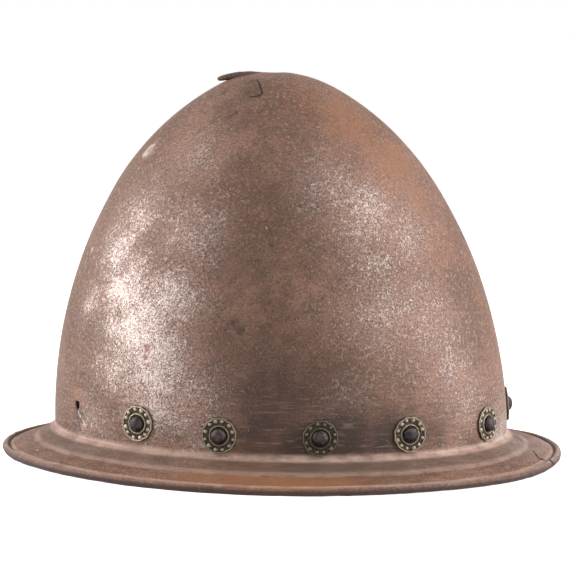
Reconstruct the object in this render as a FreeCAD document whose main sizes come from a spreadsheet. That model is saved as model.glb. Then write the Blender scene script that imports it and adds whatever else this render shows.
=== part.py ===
import FreeCAD, Part
import math
import os
import re

import Sketcher

# A cabasset: an open iron helmet with an almond-shaped skull and a narrow sloping brim, both
# raised from one plate. A row of brass rosettes runs round the foot of the skull. Each rosette
# is held by a round-headed rivet that goes on through the plate and through a leather band
# inside, and is hammered over against an iron washer. The band is what a lining is sewn to.
# One rosette with its rivet and washer is lost, and its hole in the plate stays open.
#
# Millimetres. +X is the front, +Z is up. The origin lies under the middle of the brim,
# on the plane that the hem of the brim stands on.

doc = FreeCAD.newDocument("cabasset")

# Driving dimensions: name, value, meaning.
SIZES = [
    ("overall_length", 300.0, "brim, from tip to tip"),
    ("overall_height", 205.0, "from the hem of the brim to the crown"),
    ("plan_ratio", 0.80, "width of the helmet over its length"),
    ("lean_back", 0.030, "how far the skull leans back per unit of height"),
    ("brim_width", 28.8, "from the tip of the brim in to the wall"),
    ("plate", 1.4, "thickness of the iron plate"),
    ("wall_foot", 16.0, "height at which the wall stands upright"),
    ("wall_bow", 0.851, "radius of the wall, as a share of height squared over half length"),
    ("shoulder_bow", 0.791, "radius of the shoulder, as a share of height"),
    ("crown_bow", 0.842, "radius of the crown, as a share of half length squared over height"),
    ("root_radius", 2.0, "hollow corner between wall and brim"),
    ("inner_slope", 34.5, "slope of the steep inner band of the brim, degrees"),
    ("crease_reach", 17.0, "from the tip of the brim in to its crease"),
    ("crease_height", 7.4, "height of the crease between the two bands of the brim"),
    ("outer_slope", 16.0, "slope of the flatter outer band of the brim, degrees"),
    ("hem_radius", 2.3, "round hem where the edge of the plate is turned under"),
    ("hem_flat", 1.2, "width of the flat that the hem stands on"),
    ("rivet_count", 14, "places in the row round the skull"),
    ("row_gap", 0.8, "from the corner of wall and brim up to the rosettes, at the sides"),
    ("row_rise", 4.0, "how much higher the row runs at the front and the back"),
    ("row_tilt", 2.0, "how much the row drops to the front and climbs to the back"),
    ("shank_diameter", 3.2, "rivet"),
    ("shank_clearance", 0.2, "play of the shank in its holes, on the radius"),
    ("head_diameter", 8.2, "rivet"),
    ("head_height", 3.1, "rivet"),
    ("tail_diameter", 5.6, "hammered end of the rivet"),
    ("tail_height", 1.2, "hammered end of the rivet"),
    ("rosette_diameter", 19.0, "across the corners of its petals"),
    ("rosette_rim", 1.7, "height of the rim above the plate"),
    ("rosette_floor", 0.6, "thickness of the brass at the bottom of the cups"),
    ("rosette_seat", 1.15, "height of the seat under the rivet head"),
    ("seat_diameter", 10.0, "raised seat under the rivet head"),
    ("seat_lean", 0.6, "how much wider the seat is at its foot, on the radius"),
    ("rim_width", 1.0, "width of the top of the rim"),
    ("rim_lean", 0.3, "how far the outside of the rim leans in"),
    ("cup_lean", 0.7, "how far the inside of the rim leans in, down to the cups"),
    ("petals", 12, "cups round a rosette"),
    ("rib_width", 1.9, "foot of the rib between two cups"),
    ("rib_height", 0.75, "rib above the bottom of the cups"),
    ("rib_bite", 0.4, "how far a rib runs into the seat and into the rim"),
    ("band_height", 20.0, "leather band"),
    ("band_thickness", 1.8, "leather band"),
    ("band_drop", 7.3, "lower edge of the band below the row of rivets"),
    ("band_clearance", 0.3, "between the band and the iron on either side of it"),
    ("washer_side", 10.0, "square washer, across its sides"),
    ("washer_corner", 1.6, "cut off each corner of the washer"),
    ("washer_thickness", 0.9, "iron washer"),
    ("stalk_root", 17.5, "from the middle of the crown back to where the stalk starts"),
    ("stalk_bite", 6.0, "how far the stalk runs forward into the crown"),
    ("stalk_length", 14.5, "stalk on the crown"),
    ("stalk_width", 9.0, "stalk at its root"),
    ("stalk_thickness", 6.4, "stalk at its root, top to bottom"),
    ("stalk_sink", 1.6, "top of the stalk's root below the crown"),
    ("stalk_tip_width", 5.0, "stalk at its tip"),
    ("stalk_tip_thickness", 3.4, "stalk at its tip, top to bottom"),
    ("stalk_drop", 3.6, "top of the stalk's tip below the crown"),
]

# Sizes that follow from others.
DERIVED = [
    ("brim_half", "=overall_length / 2", "half length of the brim"),
    ("skull_half", "=brim_half - brim_width", "half length of the skull just above the brim"),
    ("skull_rise", "=overall_height - wall_foot", "height of the three arcs of the skull"),
    ("wall_radius", "=wall_bow * skull_rise * skull_rise / skull_half", "lowest arc"),
    ("shoulder_radius", "=shoulder_bow * skull_rise", "middle arc"),
    ("crown_radius", "=crown_bow * skull_half * skull_half / skull_rise", "top arc"),
    ("inner_reach", "=brim_width - crease_reach", "width of the steep inner band"),
    ("inner_rise", "=inner_reach * tan(inner_slope * 1 deg)", "height of the steep inner band"),
    ("row_height", "=crease_height + inner_rise + row_gap + rosette_diameter / 2",
     "height of the row at the sides of the skull"),
    ("band_foot", "=row_height - band_drop", "height of the lower edge of the band"),
    ("band_back", "=plate + band_clearance", "from the wall's outer face in to the band"),
    ("band_face", "=band_back + band_thickness", "from the wall's outer face to the band's own"),
    ("hole_radius", "=shank_diameter / 2 + shank_clearance", "all holes on a shank"),
    ("drill_depth", "=2 * (band_face + band_clearance)", "drills run this far each way"),
]

# How far the forms run on below the hem before they are trimmed, in millimetres.
OVERRUN = 2.0

sheet = doc.addObject("Spreadsheet::Sheet", "sizes")
for row, (alias, value, meaning) in enumerate(SIZES + DERIVED, start=1):
    sheet.set("A%d" % row, meaning)
    sheet.set("B%d" % row, str(value))
    sheet.setAlias("B%d" % row, alias)
doc.recompute()


def size(alias):
    return float(sheet.get(alias))


def plane_of(body, role):
    for feature in body.Origin.OriginFeatures:
        if feature.Role == role:
            return feature
    raise ValueError("no plane " + role)


def new_body(label):
    body = doc.addObject("PartDesign::Body", label)
    body.Label = label
    return body


def new_sketch(body, name, role="XZ_Plane"):
    sketch = body.newObject("Sketcher::SketchObject", name)
    sketch.AttachmentSupport = [(plane_of(body, role), "")]
    sketch.MapMode = "FlatFace"
    return sketch


def vector(across, up):
    return FreeCAD.Vector(across, up, 0)


def line(sketch, start, end):
    return sketch.addGeometry(Part.LineSegment(vector(*start), vector(*end)), False)


def arc(sketch, centre, radius, start_degrees, end_degrees):
    circle = Part.Circle(vector(*centre), FreeCAD.Vector(0, 0, 1), radius)
    start = math.radians(start_degrees)
    end = math.radians(end_degrees)
    return sketch.addGeometry(Part.ArcOfCircle(circle, start, end), False)


def constrain(sketch, kind, *places):
    return sketch.addConstraint(Sketcher.Constraint(kind, *places))


def drive(sketch, kind, *places, to):
    """Adds a dimension and ties it to the sheet. Its last place is its value as drawn."""
    number = constrain(sketch, kind, *places)
    sketch.setExpression("Constraints[%d]" % number, named(to))


def named(formula):
    """Puts the sheet's name before each alias in a formula."""
    aliases = {alias for alias, _, _ in SIZES + DERIVED}
    return re.sub(
        r"[a-z_]+",
        lambda word: "sizes." + word.group() if word.group() in aliases else word.group(),
        formula,
    )


def bind(thing, **formulas):
    for prop, formula in formulas.items():
        thing.setExpression(prop, named(formula))


ORIGIN = (-1, 1)
H_AXIS = -1
V_AXIS = -2
START = 1
END = 2
CENTRE = 3


def meeting_point(centre_a, radius_a, centre_b, radius_b):
    """Where two circles about these centres cross, on the outer side of the skull."""
    across = centre_b[0] - centre_a[0]
    up = centre_b[1] - centre_a[1]
    apart = math.hypot(across, up)
    along = (apart ** 2 + radius_a ** 2 - radius_b ** 2) / (2 * apart)
    aside = math.sqrt(radius_a ** 2 - along ** 2)
    unit = (across / apart, up / apart)
    return (
        centre_a[0] + unit[0] * along + unit[1] * aside,
        centre_a[1] + unit[1] * along - unit[0] * aside,
    )


def direction(start, end):
    return math.degrees(math.atan2(end[1] - start[1], end[0] - start[0]))


def step_from(start, heading, distance):
    return (
        start[0] + distance * math.cos(math.radians(heading)),
        start[1] + distance * math.sin(math.radians(heading)),
    )


def step_to_circle(start, heading, centre, radius):
    """Where a straight run from here first meets a circle."""
    apart = math.hypot(centre[0] - start[0], centre[1] - start[1])
    turn = math.radians(direction(start, centre) - heading)
    aside = apart * math.sin(turn)
    along = apart * math.cos(turn) - math.sqrt(radius ** 2 - aside ** 2)
    return step_from(start, heading, along)


class Skull:
    """The three tangent arcs of the skull's round profile, from the sheet."""

    def __init__(self):
        self.wall_radius = size("wall_radius")
        self.shoulder_radius = size("shoulder_radius")
        self.crown_radius = size("crown_radius")
        self.wall = (size("skull_half") - self.wall_radius, size("wall_foot"))
        self.crown = (0.0, size("overall_height") - self.crown_radius)
        self.shoulder = meeting_point(
            self.wall, self.wall_radius - self.shoulder_radius,
            self.crown, self.shoulder_radius - self.crown_radius,
        )
        self.low_turn = direction(self.wall, self.shoulder)
        self.high_turn = direction(self.shoulder, self.crown)

    def radius_at(self, height):
        """Outer radius of the round profile in the wall's arc."""
        rise = height - self.wall[1]
        return self.wall[0] + math.sqrt(self.wall_radius ** 2 - rise ** 2)

    def slope_at(self, height):
        """Change of that radius per unit of height."""
        rise = height - self.wall[1]
        return -rise / math.sqrt(self.wall_radius ** 2 - rise ** 2)


class Brim:
    """Corners of the brim's half section, on its outer face or at a depth below it."""

    def __init__(self, depth):
        steep = size("inner_slope")
        flat = size("outer_slope")
        outer_crease = (size("brim_half") - size("crease_reach"), size("crease_height"))
        bend = math.radians(steep - flat) / 2
        down = -90 - (steep + flat) / 2
        self.crease = step_from(outer_crease, down, depth / math.cos(bend))

        radius = size("root_radius")
        above = step_from(outer_crease, 90 - steep, radius)
        self.root = step_to_circle(above, 180 - steep, skull.wall, skull.wall_radius + radius)
        self.root_radius = radius + depth
        self.band_top = step_from(self.root, -90 - steep, self.root_radius)

        hem = size("hem_radius")
        half_flat = size("hem_flat") / 2
        self.hem = (size("brim_half") - hem, math.sqrt(hem ** 2 - half_flat ** 2))
        self.band_end = step_to_circle(self.crease, -flat, self.hem, hem)


skull = Skull()


def draw_face(sketch, depth, inset):
    """Crown, shoulder, wall, root corner and the two bands of the brim, joined end to end.

    The depth below the outer face places the lines, and the inset, a formula of the same
    value, is what ties them to the sheet.
    """
    brim = Brim(depth)
    crown = arc(sketch, skull.crown, skull.crown_radius - depth, skull.high_turn, 90)
    shoulder = arc(
        sketch, skull.shoulder, skull.shoulder_radius - depth, skull.low_turn, skull.high_turn
    )
    wall = arc(
        sketch, skull.wall, skull.wall_radius - depth,
        direction(skull.wall, brim.root), skull.low_turn,
    )
    corner = arc(
        sketch, brim.root, brim.root_radius,
        direction(brim.root, skull.wall), -90 - size("inner_slope"),
    )
    inner_band = line(sketch, brim.band_top, brim.crease)
    outer_band = line(sketch, brim.crease, brim.band_end)

    constrain(sketch, "PointOnObject", crown, CENTRE, V_AXIS)
    constrain(sketch, "PointOnObject", crown, END, V_AXIS)
    constrain(sketch, "Tangent", shoulder, END, crown, START)
    constrain(sketch, "Tangent", wall, END, shoulder, START)
    constrain(sketch, "Tangent", corner, START, wall, START)
    constrain(sketch, "Tangent", corner, END, inner_band, START)
    constrain(sketch, "Coincident", inner_band, END, outer_band, START)
    drive(sketch, "DistanceY", *ORIGIN, crown, CENTRE, skull.crown[1],
          to="overall_height - crown_radius")
    drive(sketch, "DistanceY", *ORIGIN, wall, CENTRE, skull.wall[1], to="wall_foot")
    drive(sketch, "DistanceX", wall, CENTRE, *ORIGIN, -skull.wall[0],
          to="wall_radius - skull_half")
    for curve, name in ((crown, "crown"), (shoulder, "shoulder"), (wall, "wall")):
        drive(sketch, "Radius", curve, size(name + "_radius") - depth,
              to="%s_radius - %s" % (name, inset))
    drive(sketch, "Radius", corner, brim.root_radius, to="root_radius + " + inset)
    drive(sketch, "Angle", inner_band, -math.radians(size("inner_slope")), to="-inner_slope")
    drive(sketch, "Angle", outer_band, -math.radians(size("outer_slope")), to="-outer_slope")

    mark = sketch.addGeometry(Part.Point(vector(*Brim(0).crease)), True)
    drive(sketch, "DistanceX", *ORIGIN, mark, START, Brim(0).crease[0],
          to="brim_half - crease_reach")
    drive(sketch, "DistanceY", *ORIGIN, mark, START, Brim(0).crease[1], to="crease_height")
    if depth:
        drive(sketch, "Distance", mark, START, inner_band, depth, to=inset)
        drive(sketch, "Distance", mark, START, outer_band, depth, to=inset)
    else:
        constrain(sketch, "Coincident", inner_band, END, mark, START)
    return brim, crown, outer_band


def close_below(sketch, edge, crown, depth):
    """Runs from the flat of the hem down past it, in to the axis and up to the crown."""
    lip = line(sketch, edge, (edge[0], -OVERRUN))
    foot = line(sketch, (edge[0], -OVERRUN), (0, -OVERRUN))
    axis = line(sketch, (0, -OVERRUN), (0, size("overall_height") - depth))
    constrain(sketch, "PointOnObject", lip, START, H_AXIS)
    constrain(sketch, "Vertical", lip)
    constrain(sketch, "Coincident", lip, END, foot, START)
    constrain(sketch, "Horizontal", foot)
    constrain(sketch, "PointOnObject", foot, END, V_AXIS)
    constrain(sketch, "Coincident", foot, END, axis, START)
    constrain(sketch, "Coincident", axis, END, crown, END)
    constrain(sketch, "DistanceY", foot, END, *ORIGIN, OVERRUN)
    return lip


def draw_outer_profile(sketch):
    """Half section of the helmet filled solid, from the crown to below the hem."""
    brim, crown, outer_band = draw_face(sketch, 0.0, "0")
    radius = size("hem_radius")
    half_flat = size("hem_flat") / 2
    edge = (brim.hem[0] + half_flat, 0)

    under = arc(sketch, brim.hem, radius, direction(brim.hem, edge), 0)
    side = arc(sketch, brim.hem, radius, 0, 90)
    upper = arc(sketch, brim.hem, radius, 90, direction(brim.hem, brim.band_end))
    lip = close_below(sketch, edge, crown, 0.0)
    for first, second in ((under, side), (side, upper)):
        constrain(sketch, "Coincident", first, END, second, START)
        constrain(sketch, "Coincident", first, CENTRE, second, CENTRE)
    constrain(sketch, "Horizontal", under, CENTRE, under, END)
    constrain(sketch, "Vertical", side, CENTRE, side, END)
    constrain(sketch, "Coincident", outer_band, END, upper, END)
    constrain(sketch, "Coincident", under, START, lip, START)
    drive(sketch, "Radius", under, radius, to="hem_radius")
    drive(sketch, "DistanceX", *ORIGIN, under, CENTRE, brim.hem[0], to="brim_half - hem_radius")
    drive(sketch, "DistanceX", under, CENTRE, under, START, half_flat, to="hem_flat / 2")


def draw_hollow_profile(sketch):
    """Half section of the space inside, one plate's thickness below the outer face."""
    brim, crown, outer_band = draw_face(sketch, size("plate"), "plate")
    radius = size("hem_radius")
    half_flat = size("hem_flat") / 2
    edge = (brim.hem[0] - half_flat, 0)

    hem = arc(
        sketch, brim.hem, radius,
        direction(brim.hem, brim.band_end), direction(brim.hem, edge),
    )
    lip = close_below(sketch, edge, crown, size("plate"))
    constrain(sketch, "Coincident", outer_band, END, hem, START)
    constrain(sketch, "Coincident", hem, END, lip, START)
    drive(sketch, "Radius", hem, radius, to="hem_radius")
    drive(sketch, "DistanceX", *ORIGIN, hem, CENTRE, brim.hem[0], to="brim_half - hem_radius")
    drive(sketch, "DistanceX", hem, END, hem, CENTRE, half_flat, to="hem_flat / 2")


def draw_band_profile(sketch, inset):
    """Half section of a drum that fits inside the wall. The inset is a name in the sheet."""
    low = size("band_foot")
    high = low + size("band_height")
    radius = skull.radius_at(low) - size(inset)
    side_radius = skull.wall_radius - size(inset)
    side = arc(
        sketch, skull.wall, side_radius,
        direction(skull.wall, (radius, low)), direction(skull.wall, (radius, high)),
    )
    foot = line(sketch, (0, low), (radius, low))
    top = line(sketch, (radius, high), (0, high))
    axis = line(sketch, (0, high), (0, low))
    constrain(sketch, "Coincident", foot, END, side, START)
    constrain(sketch, "Coincident", side, END, top, START)
    constrain(sketch, "Coincident", top, END, axis, START)
    constrain(sketch, "Coincident", axis, END, foot, START)
    constrain(sketch, "PointOnObject", foot, START, V_AXIS)
    constrain(sketch, "Horizontal", foot)
    constrain(sketch, "Horizontal", top)
    constrain(sketch, "Vertical", axis)
    drive(sketch, "DistanceY", *ORIGIN, foot, START, low, to="band_foot")
    drive(sketch, "DistanceY", foot, START, top, END, high - low, to="band_height")
    drive(sketch, "DistanceY", *ORIGIN, side, CENTRE, skull.wall[1], to="wall_foot")
    drive(sketch, "DistanceX", side, CENTRE, *ORIGIN, -skull.wall[0],
          to="wall_radius - skull_half")
    drive(sketch, "Radius", side, side_radius, to="wall_radius - " + inset)


def pad(body, sketch, length):
    feature = body.newObject("PartDesign::Pad", sketch.Name + "_pad")
    feature.Profile = sketch
    bind(feature, Length=length)
    body.Tip = feature
    return feature


def lift(sketch, height):
    bind(sketch, **{".AttachmentOffset.Base.z": height})


def loft(body, kind, sketches):
    feature = body.newObject("PartDesign::" + kind, sketches[0].Name + "_loft")
    feature.Profile = sketches[0]
    feature.Sections = sketches[1:]
    feature.Ruled = True
    body.Tip = feature
    return feature


def revolve(label, draw):
    """A body with one sketch turned round the vertical axis."""
    body = new_body(label)
    sketch = new_sketch(body, label + "_profile")
    draw(sketch)
    turned = body.newObject("PartDesign::Revolution", label + "_turned")
    turned.Profile = sketch
    turned.ReferenceAxis = (sketch, ["V_Axis"])
    turned.Angle = 360
    body.Tip = turned
    return body


def oval(body, inset):
    """The turned form pressed to an oval that leans back.

    The ratio is the one that keeps the inset the same at the sides as at the ends.
    """
    doc.recompute()
    half = size("skull_half")
    ratio = (half * size("plan_ratio") - inset) / (half - inset)
    press = FreeCAD.Matrix()
    press.A22 = ratio
    press.A13 = -size("lean_back")
    pressed = doc.addObject("Part::Feature", body.Name + "_oval")
    pressed.Label = body.Label + "_oval"
    pressed.Shape = body.Shape.transformGeometry(press)
    return pressed


def cut(label, base, tool):
    result = doc.addObject("Part::Cut", label)
    result.Label = label
    result.Base = base
    result.Tool = tool
    return result


# Places in the row of rivets, numbered from the front

# The holes were set out by eye. This is how far each strays from its even place: round the
# skull, in degrees of turn, and up or down, in millimetres.
STRAY_ROUND = {
    0: 7.0, 1: 4.0, 2: 1.0, 3: -1.5, 4: -4.5, 5: -7.0, 6: -10.0, 7: -13.0,
    8: 4.0, 9: 2.2, 10: 0.4, 11: 1.4, 12: 0.7, 13: 4.4,
}
STRAY_UP = {0: 1.2, 8: 1.2, 10: -0.8, 13: -1.2}

# The place whose rivet, rosette and washer are gone.
LOST = 8


def surface_point(turn, height):
    """A point on the outer face of the wall, at a turn round the oval."""
    radius = skull.radius_at(height)
    return FreeCAD.Vector(
        radius * math.cos(turn) - size("lean_back") * height,
        size("plan_ratio") * radius * math.sin(turn),
        height,
    )


def surface_normal(turn, height):
    ratio = size("plan_ratio")
    radius = skull.radius_at(height)
    out = FreeCAD.Vector(
        radius * math.cos(turn),
        radius * math.sin(turn) / ratio,
        radius * math.cos(turn) * size("lean_back") - radius * skull.slope_at(height),
    )
    return out.normalize()


def even_turns(count, steps=2000):
    """Turns that divide the oval's edge evenly, starting from the front."""
    ratio = size("plan_ratio")
    lengths = [0.0]
    for step in range(steps):
        middle = 2 * math.pi * (step + 0.5) / steps
        lengths.append(lengths[-1] + math.hypot(math.sin(middle), ratio * math.cos(middle)))
    turns = []
    step = 0
    for place in range(count):
        wanted = lengths[-1] * place / count
        while lengths[step + 1] < wanted:
            step += 1
        share = (wanted - lengths[step]) / (lengths[step + 1] - lengths[step])
        turns.append(2 * math.pi * (step + share) / steps)
    return turns


def row_place(number, even_turn):
    """Where a rivet stands: its origin on the outer face, its Z axis pointing out."""
    turn = even_turn + math.radians(STRAY_ROUND.get(number, 0.0))
    forward = math.cos(turn)
    height = (
        size("row_height")
        + size("row_rise") * forward ** 2
        - size("row_tilt") * forward
        + STRAY_UP.get(number, 0.0)
    )
    out = surface_normal(turn, height)
    along = FreeCAD.Vector(-math.sin(turn), math.cos(turn), 0)
    along = (along - out * along.dot(out)).normalize()
    up = out.cross(along)
    turned = FreeCAD.Rotation(along, up, out, "ZXY")
    return FreeCAD.Placement(surface_point(turn, height), turned)


TURNS = even_turns(int(size("rivet_count")))
ROW = [row_place(number, turn) for number, turn in enumerate(TURNS)]
HELD = [number for number in range(len(ROW)) if number != LOST]


def below_surface(number, depth):
    """A place in the row, moved straight in from the outer face."""
    inward = FreeCAD.Placement(FreeCAD.Vector(0, 0, -depth), FreeCAD.Rotation())
    return ROW[number].multiply(inward)


# Skull and brim

def make_stalk():
    """The short stalk on the crown, drawn back and ending in a blunt tip."""
    body = new_body("stalk_form")
    root = draw_stalk_end(
        body, "stalk_root_end", back="stalk_root - stalk_bite", top="stalk_sink",
        width="stalk_width", thickness="stalk_thickness",
    )
    tip = draw_stalk_end(
        body, "stalk_tip_end", back="stalk_root + stalk_length", top="stalk_drop",
        width="stalk_tip_width", thickness="stalk_tip_thickness",
    )
    loft(body, "AdditiveLoft", [root, tip])
    return body


def draw_stalk_end(body, name, back, top, width, thickness):
    """A section across the stalk: two flat sides and round ends left and right."""
    sketch = new_sketch(body, name, "YZ_Plane")
    bind(sketch, **{
        ".AttachmentOffset.Base.z": "-(%s) - lean_back * overall_height" % back,
        ".AttachmentOffset.Base.y": "overall_height - %s - %s / 2" % (top, thickness),
    })
    half = size(thickness) / 2
    reach = size(width) / 2
    upper = line(sketch, (reach - half, half), (half - reach, half))
    left = arc(sketch, (half - reach, 0), half, 90, 270)
    lower = line(sketch, (half - reach, -half), (reach - half, -half))
    right = arc(sketch, (reach - half, 0), half, -90, 90)
    constrain(sketch, "Tangent", upper, END, left, START)
    constrain(sketch, "Tangent", left, END, lower, START)
    constrain(sketch, "Tangent", lower, END, right, START)
    constrain(sketch, "Tangent", right, END, upper, START)
    constrain(sketch, "Horizontal", upper)
    constrain(sketch, "Symmetric", left, CENTRE, right, CENTRE, *ORIGIN)
    drive(sketch, "Radius", left, half, to=thickness + " / 2")
    drive(sketch, "DistanceX", left, CENTRE, right, CENTRE, 2 * (reach - half),
          to="%s - %s" % (width, thickness))
    return sketch


def make_holes(label, numbers):
    """Drilled holes that follow the row, long enough for plate and leather."""
    drills = []
    for number in numbers:
        drill = doc.addObject("Part::Cylinder", "%s_%02d" % (label, number))
        bind(drill, Radius="hole_radius", Height="2 * drill_depth")
        drill.Placement = below_surface(number, size("drill_depth"))
        drills.append(drill)
    group = doc.addObject("Part::Compound", label)
    group.Links = drills
    return group


def make_ground():
    """A slab that trims the hem to the flat that it stands on."""
    slab = doc.addObject("Part::Box", "ground")
    bind(slab, **{
        "Length": "2 * overall_length",
        "Width": "2 * overall_length",
        "Height": "overall_length",
        ".Placement.Base.x": "-overall_length",
        ".Placement.Base.y": "-overall_length",
        ".Placement.Base.z": "-overall_length",
    })
    return slab


def make_bowl():
    outside = oval(revolve("outer_form", draw_outer_profile), 0.0)
    inside = oval(revolve("hollow_form", draw_hollow_profile), size("plate"))
    solid = doc.addObject("Part::Fuse", "bowl_with_stalk")
    solid.Base = cut("standing_form", outside, make_ground())
    solid.Tool = make_stalk()
    hollowed = cut("hollow_bowl", solid, inside)
    return cut("bowl", hollowed, make_holes("plate_holes", range(len(ROW))))


# Leather band

def make_band():
    drums = []
    for inset in ("band_back", "band_face"):
        drum = revolve(inset + "_form", lambda sketch: draw_band_profile(sketch, inset))
        drums.append(oval(drum, size(inset)))
    ring = cut("band_ring", *drums)
    return cut("lining_band", ring, make_holes("band_holes", range(len(ROW))))


# Rosettes, rivets and washers

def draw_polygon(sketch, sides, diameter, turned=0.0):
    """A regular polygon with its corners on a circle of this diameter."""
    radius = size("seat_diameter") / 2
    ring = sketch.addGeometry(
        Part.Circle(vector(0, 0), FreeCAD.Vector(0, 0, 1), radius), True
    )
    corners = []
    for number in range(sides):
        angle = turned + 2 * math.pi * number / sides
        corners.append((radius * math.cos(angle), radius * math.sin(angle)))
    edges = [line(sketch, corners[n], corners[(n + 1) % sides]) for n in range(sides)]
    constrain(sketch, "Coincident", ring, CENTRE, *ORIGIN)
    for number, edge in enumerate(edges):
        constrain(sketch, "Coincident", edge, END, edges[(number + 1) % sides], START)
        constrain(sketch, "PointOnObject", edge, START, ring)
        if number:
            constrain(sketch, "Equal", edges[0], edge)
    constrain(sketch, "PointOnObject", edges[0], START, H_AXIS)
    drive(sketch, "Diameter", ring, 2 * radius, to=diameter)
    return edges


def polygon_at(body, name, sides, diameter, height):
    sketch = new_sketch(body, name, "XY_Plane")
    draw_polygon(sketch, sides, diameter)
    lift(sketch, height)
    return sketch


def draw_hole(sketch):
    """A round hole about the sketch's middle, for the shank of a rivet."""
    radius = size("hole_radius")
    circle = Part.Circle(vector(0, 0), FreeCAD.Vector(0, 0, 1), radius)
    hole = sketch.addGeometry(circle, False)
    constrain(sketch, "Coincident", hole, CENTRE, *ORIGIN)
    drive(sketch, "Radius", hole, radius, to="hole_radius")


def draw_rib(body, name):
    """The ridge between two cups, seen from its end, standing on the floor of the cups."""
    sketch = new_sketch(body, name, "YZ_Plane")
    foot = size("rib_width") / 2
    low = size("rosette_floor") / 2
    peak = size("rosette_floor") + size("rib_height")
    left = line(sketch, (-foot, low), (0, peak))
    right = line(sketch, (0, peak), (foot, low))
    under = line(sketch, (foot, low), (-foot, low))
    constrain(sketch, "Coincident", left, END, right, START)
    constrain(sketch, "Coincident", right, END, under, START)
    constrain(sketch, "Coincident", under, END, left, START)
    constrain(sketch, "Horizontal", under)
    constrain(sketch, "Equal", left, right)
    constrain(sketch, "PointOnObject", left, END, V_AXIS)
    drive(sketch, "DistanceX", left, START, right, END, 2 * foot, to="rib_width")
    drive(sketch, "DistanceY", *ORIGIN, right, END, low, to="rosette_floor / 2")
    drive(sketch, "DistanceY", *ORIGIN, right, START, peak, to="rosette_floor + rib_height")
    bind(sketch, **{".AttachmentOffset.Base.z": "seat_diameter / 2 - rib_bite"})
    return sketch


def make_rosette(number):
    """A brass rosette: a rim of straight facets, ribs between the cups and a raised seat."""
    label = "rosette_%02d" % number
    body = new_body(label)
    sides = int(size("petals"))

    def ring(name, diameter, height):
        return polygon_at(body, "%s_%s" % (label, name), sides, diameter, height)

    loft(body, "AdditiveLoft", [
        ring("edge", "rosette_diameter", "0"),
        ring("rim", "rosette_diameter - 2 * rim_lean", "rosette_rim"),
    ])
    loft(body, "SubtractiveLoft", [
        ring("floor", "rosette_diameter - 2 * (rim_lean + rim_width + cup_lean)",
             "rosette_floor"),
        ring("mouth", "rosette_diameter - 2 * (rim_lean + rim_width)", "rosette_rim"),
    ])
    loft(body, "AdditiveLoft", [
        ring("seat_foot", "seat_diameter + 2 * seat_lean", "rosette_floor / 2"),
        ring("seat_top", "seat_diameter", "rosette_seat"),
    ])

    ribs = pad(
        body, draw_rib(body, label + "_rib"),
        "rosette_diameter / 2 - rim_lean - rim_width - seat_diameter / 2 + 2 * rib_bite",
    )
    pattern = body.newObject("PartDesign::PolarPattern", label + "_ribs")
    pattern.Originals = [ribs]
    pattern.Axis = (plane_of(body, "Z_Axis"), [""])
    pattern.Angle = 360
    bind(pattern, Occurrences="petals")
    body.Tip = pattern

    bore = new_sketch(body, label + "_bore", "XY_Plane")
    draw_hole(bore)
    pocket = body.newObject("PartDesign::Pocket", label + "_hole")
    pocket.Profile = bore
    pocket.Type = "ThroughAll"
    pocket.Midplane = True
    body.Tip = pocket

    body.Placement = ROW[number]
    return body


def inner_stack():
    """Depth of the washer's outer face below the outer face of the plate.

    The wall is hollow there and the washer is flat, so its corners touch first. That gap
    is worked out for the tightest bend of the oval, at the front and the back.
    """
    half = size("skull_half") - size("band_face")
    tightest = half * size("plan_ratio") ** 2
    hollow = (size("washer_side") / 2) ** 2 / (2 * tightest)
    return size("band_face") + size("band_clearance") + hollow


def make_washer(number):
    """A square iron washer with its corners cut off."""
    label = "washer_%02d" % number
    body = new_body(label)
    outline = new_sketch(body, label + "_outline", "XY_Plane")
    half = size("washer_side") / 2
    short = half - size("washer_corner")
    corners = []
    for quarter in range(4):
        turn = math.pi / 2 * quarter
        for across, up in ((half, -short), (half, short)):
            corners.append((
                across * math.cos(turn) - up * math.sin(turn),
                across * math.sin(turn) + up * math.cos(turn),
            ))
    edges = [line(outline, corners[n], corners[(n + 1) % 8]) for n in range(8)]
    for place, edge in enumerate(edges):
        constrain(outline, "Coincident", edge, END, edges[(place + 1) % 8], START)
    for place in (0, 4):
        constrain(outline, "Vertical", edges[place])
        constrain(outline, "Horizontal", edges[place + 2])
    for place in (2, 4, 6):
        constrain(outline, "Equal", edges[0], edges[place])
    for place in (3, 5, 7):
        constrain(outline, "Equal", edges[1], edges[place])
    constrain(outline, "Symmetric", edges[0], START, edges[4], START, *ORIGIN)
    drive(outline, "DistanceX", edges[4], START, edges[0], START, 2 * half, to="washer_side")
    drive(outline, "DistanceY", edges[0], START, edges[0], END, 2 * short,
          to="washer_side - 2 * washer_corner")
    draw_hole(outline)
    pad(body, outline, "washer_thickness")
    body.Placement = below_surface(number, inner_stack() + size("washer_thickness"))
    return body


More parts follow.
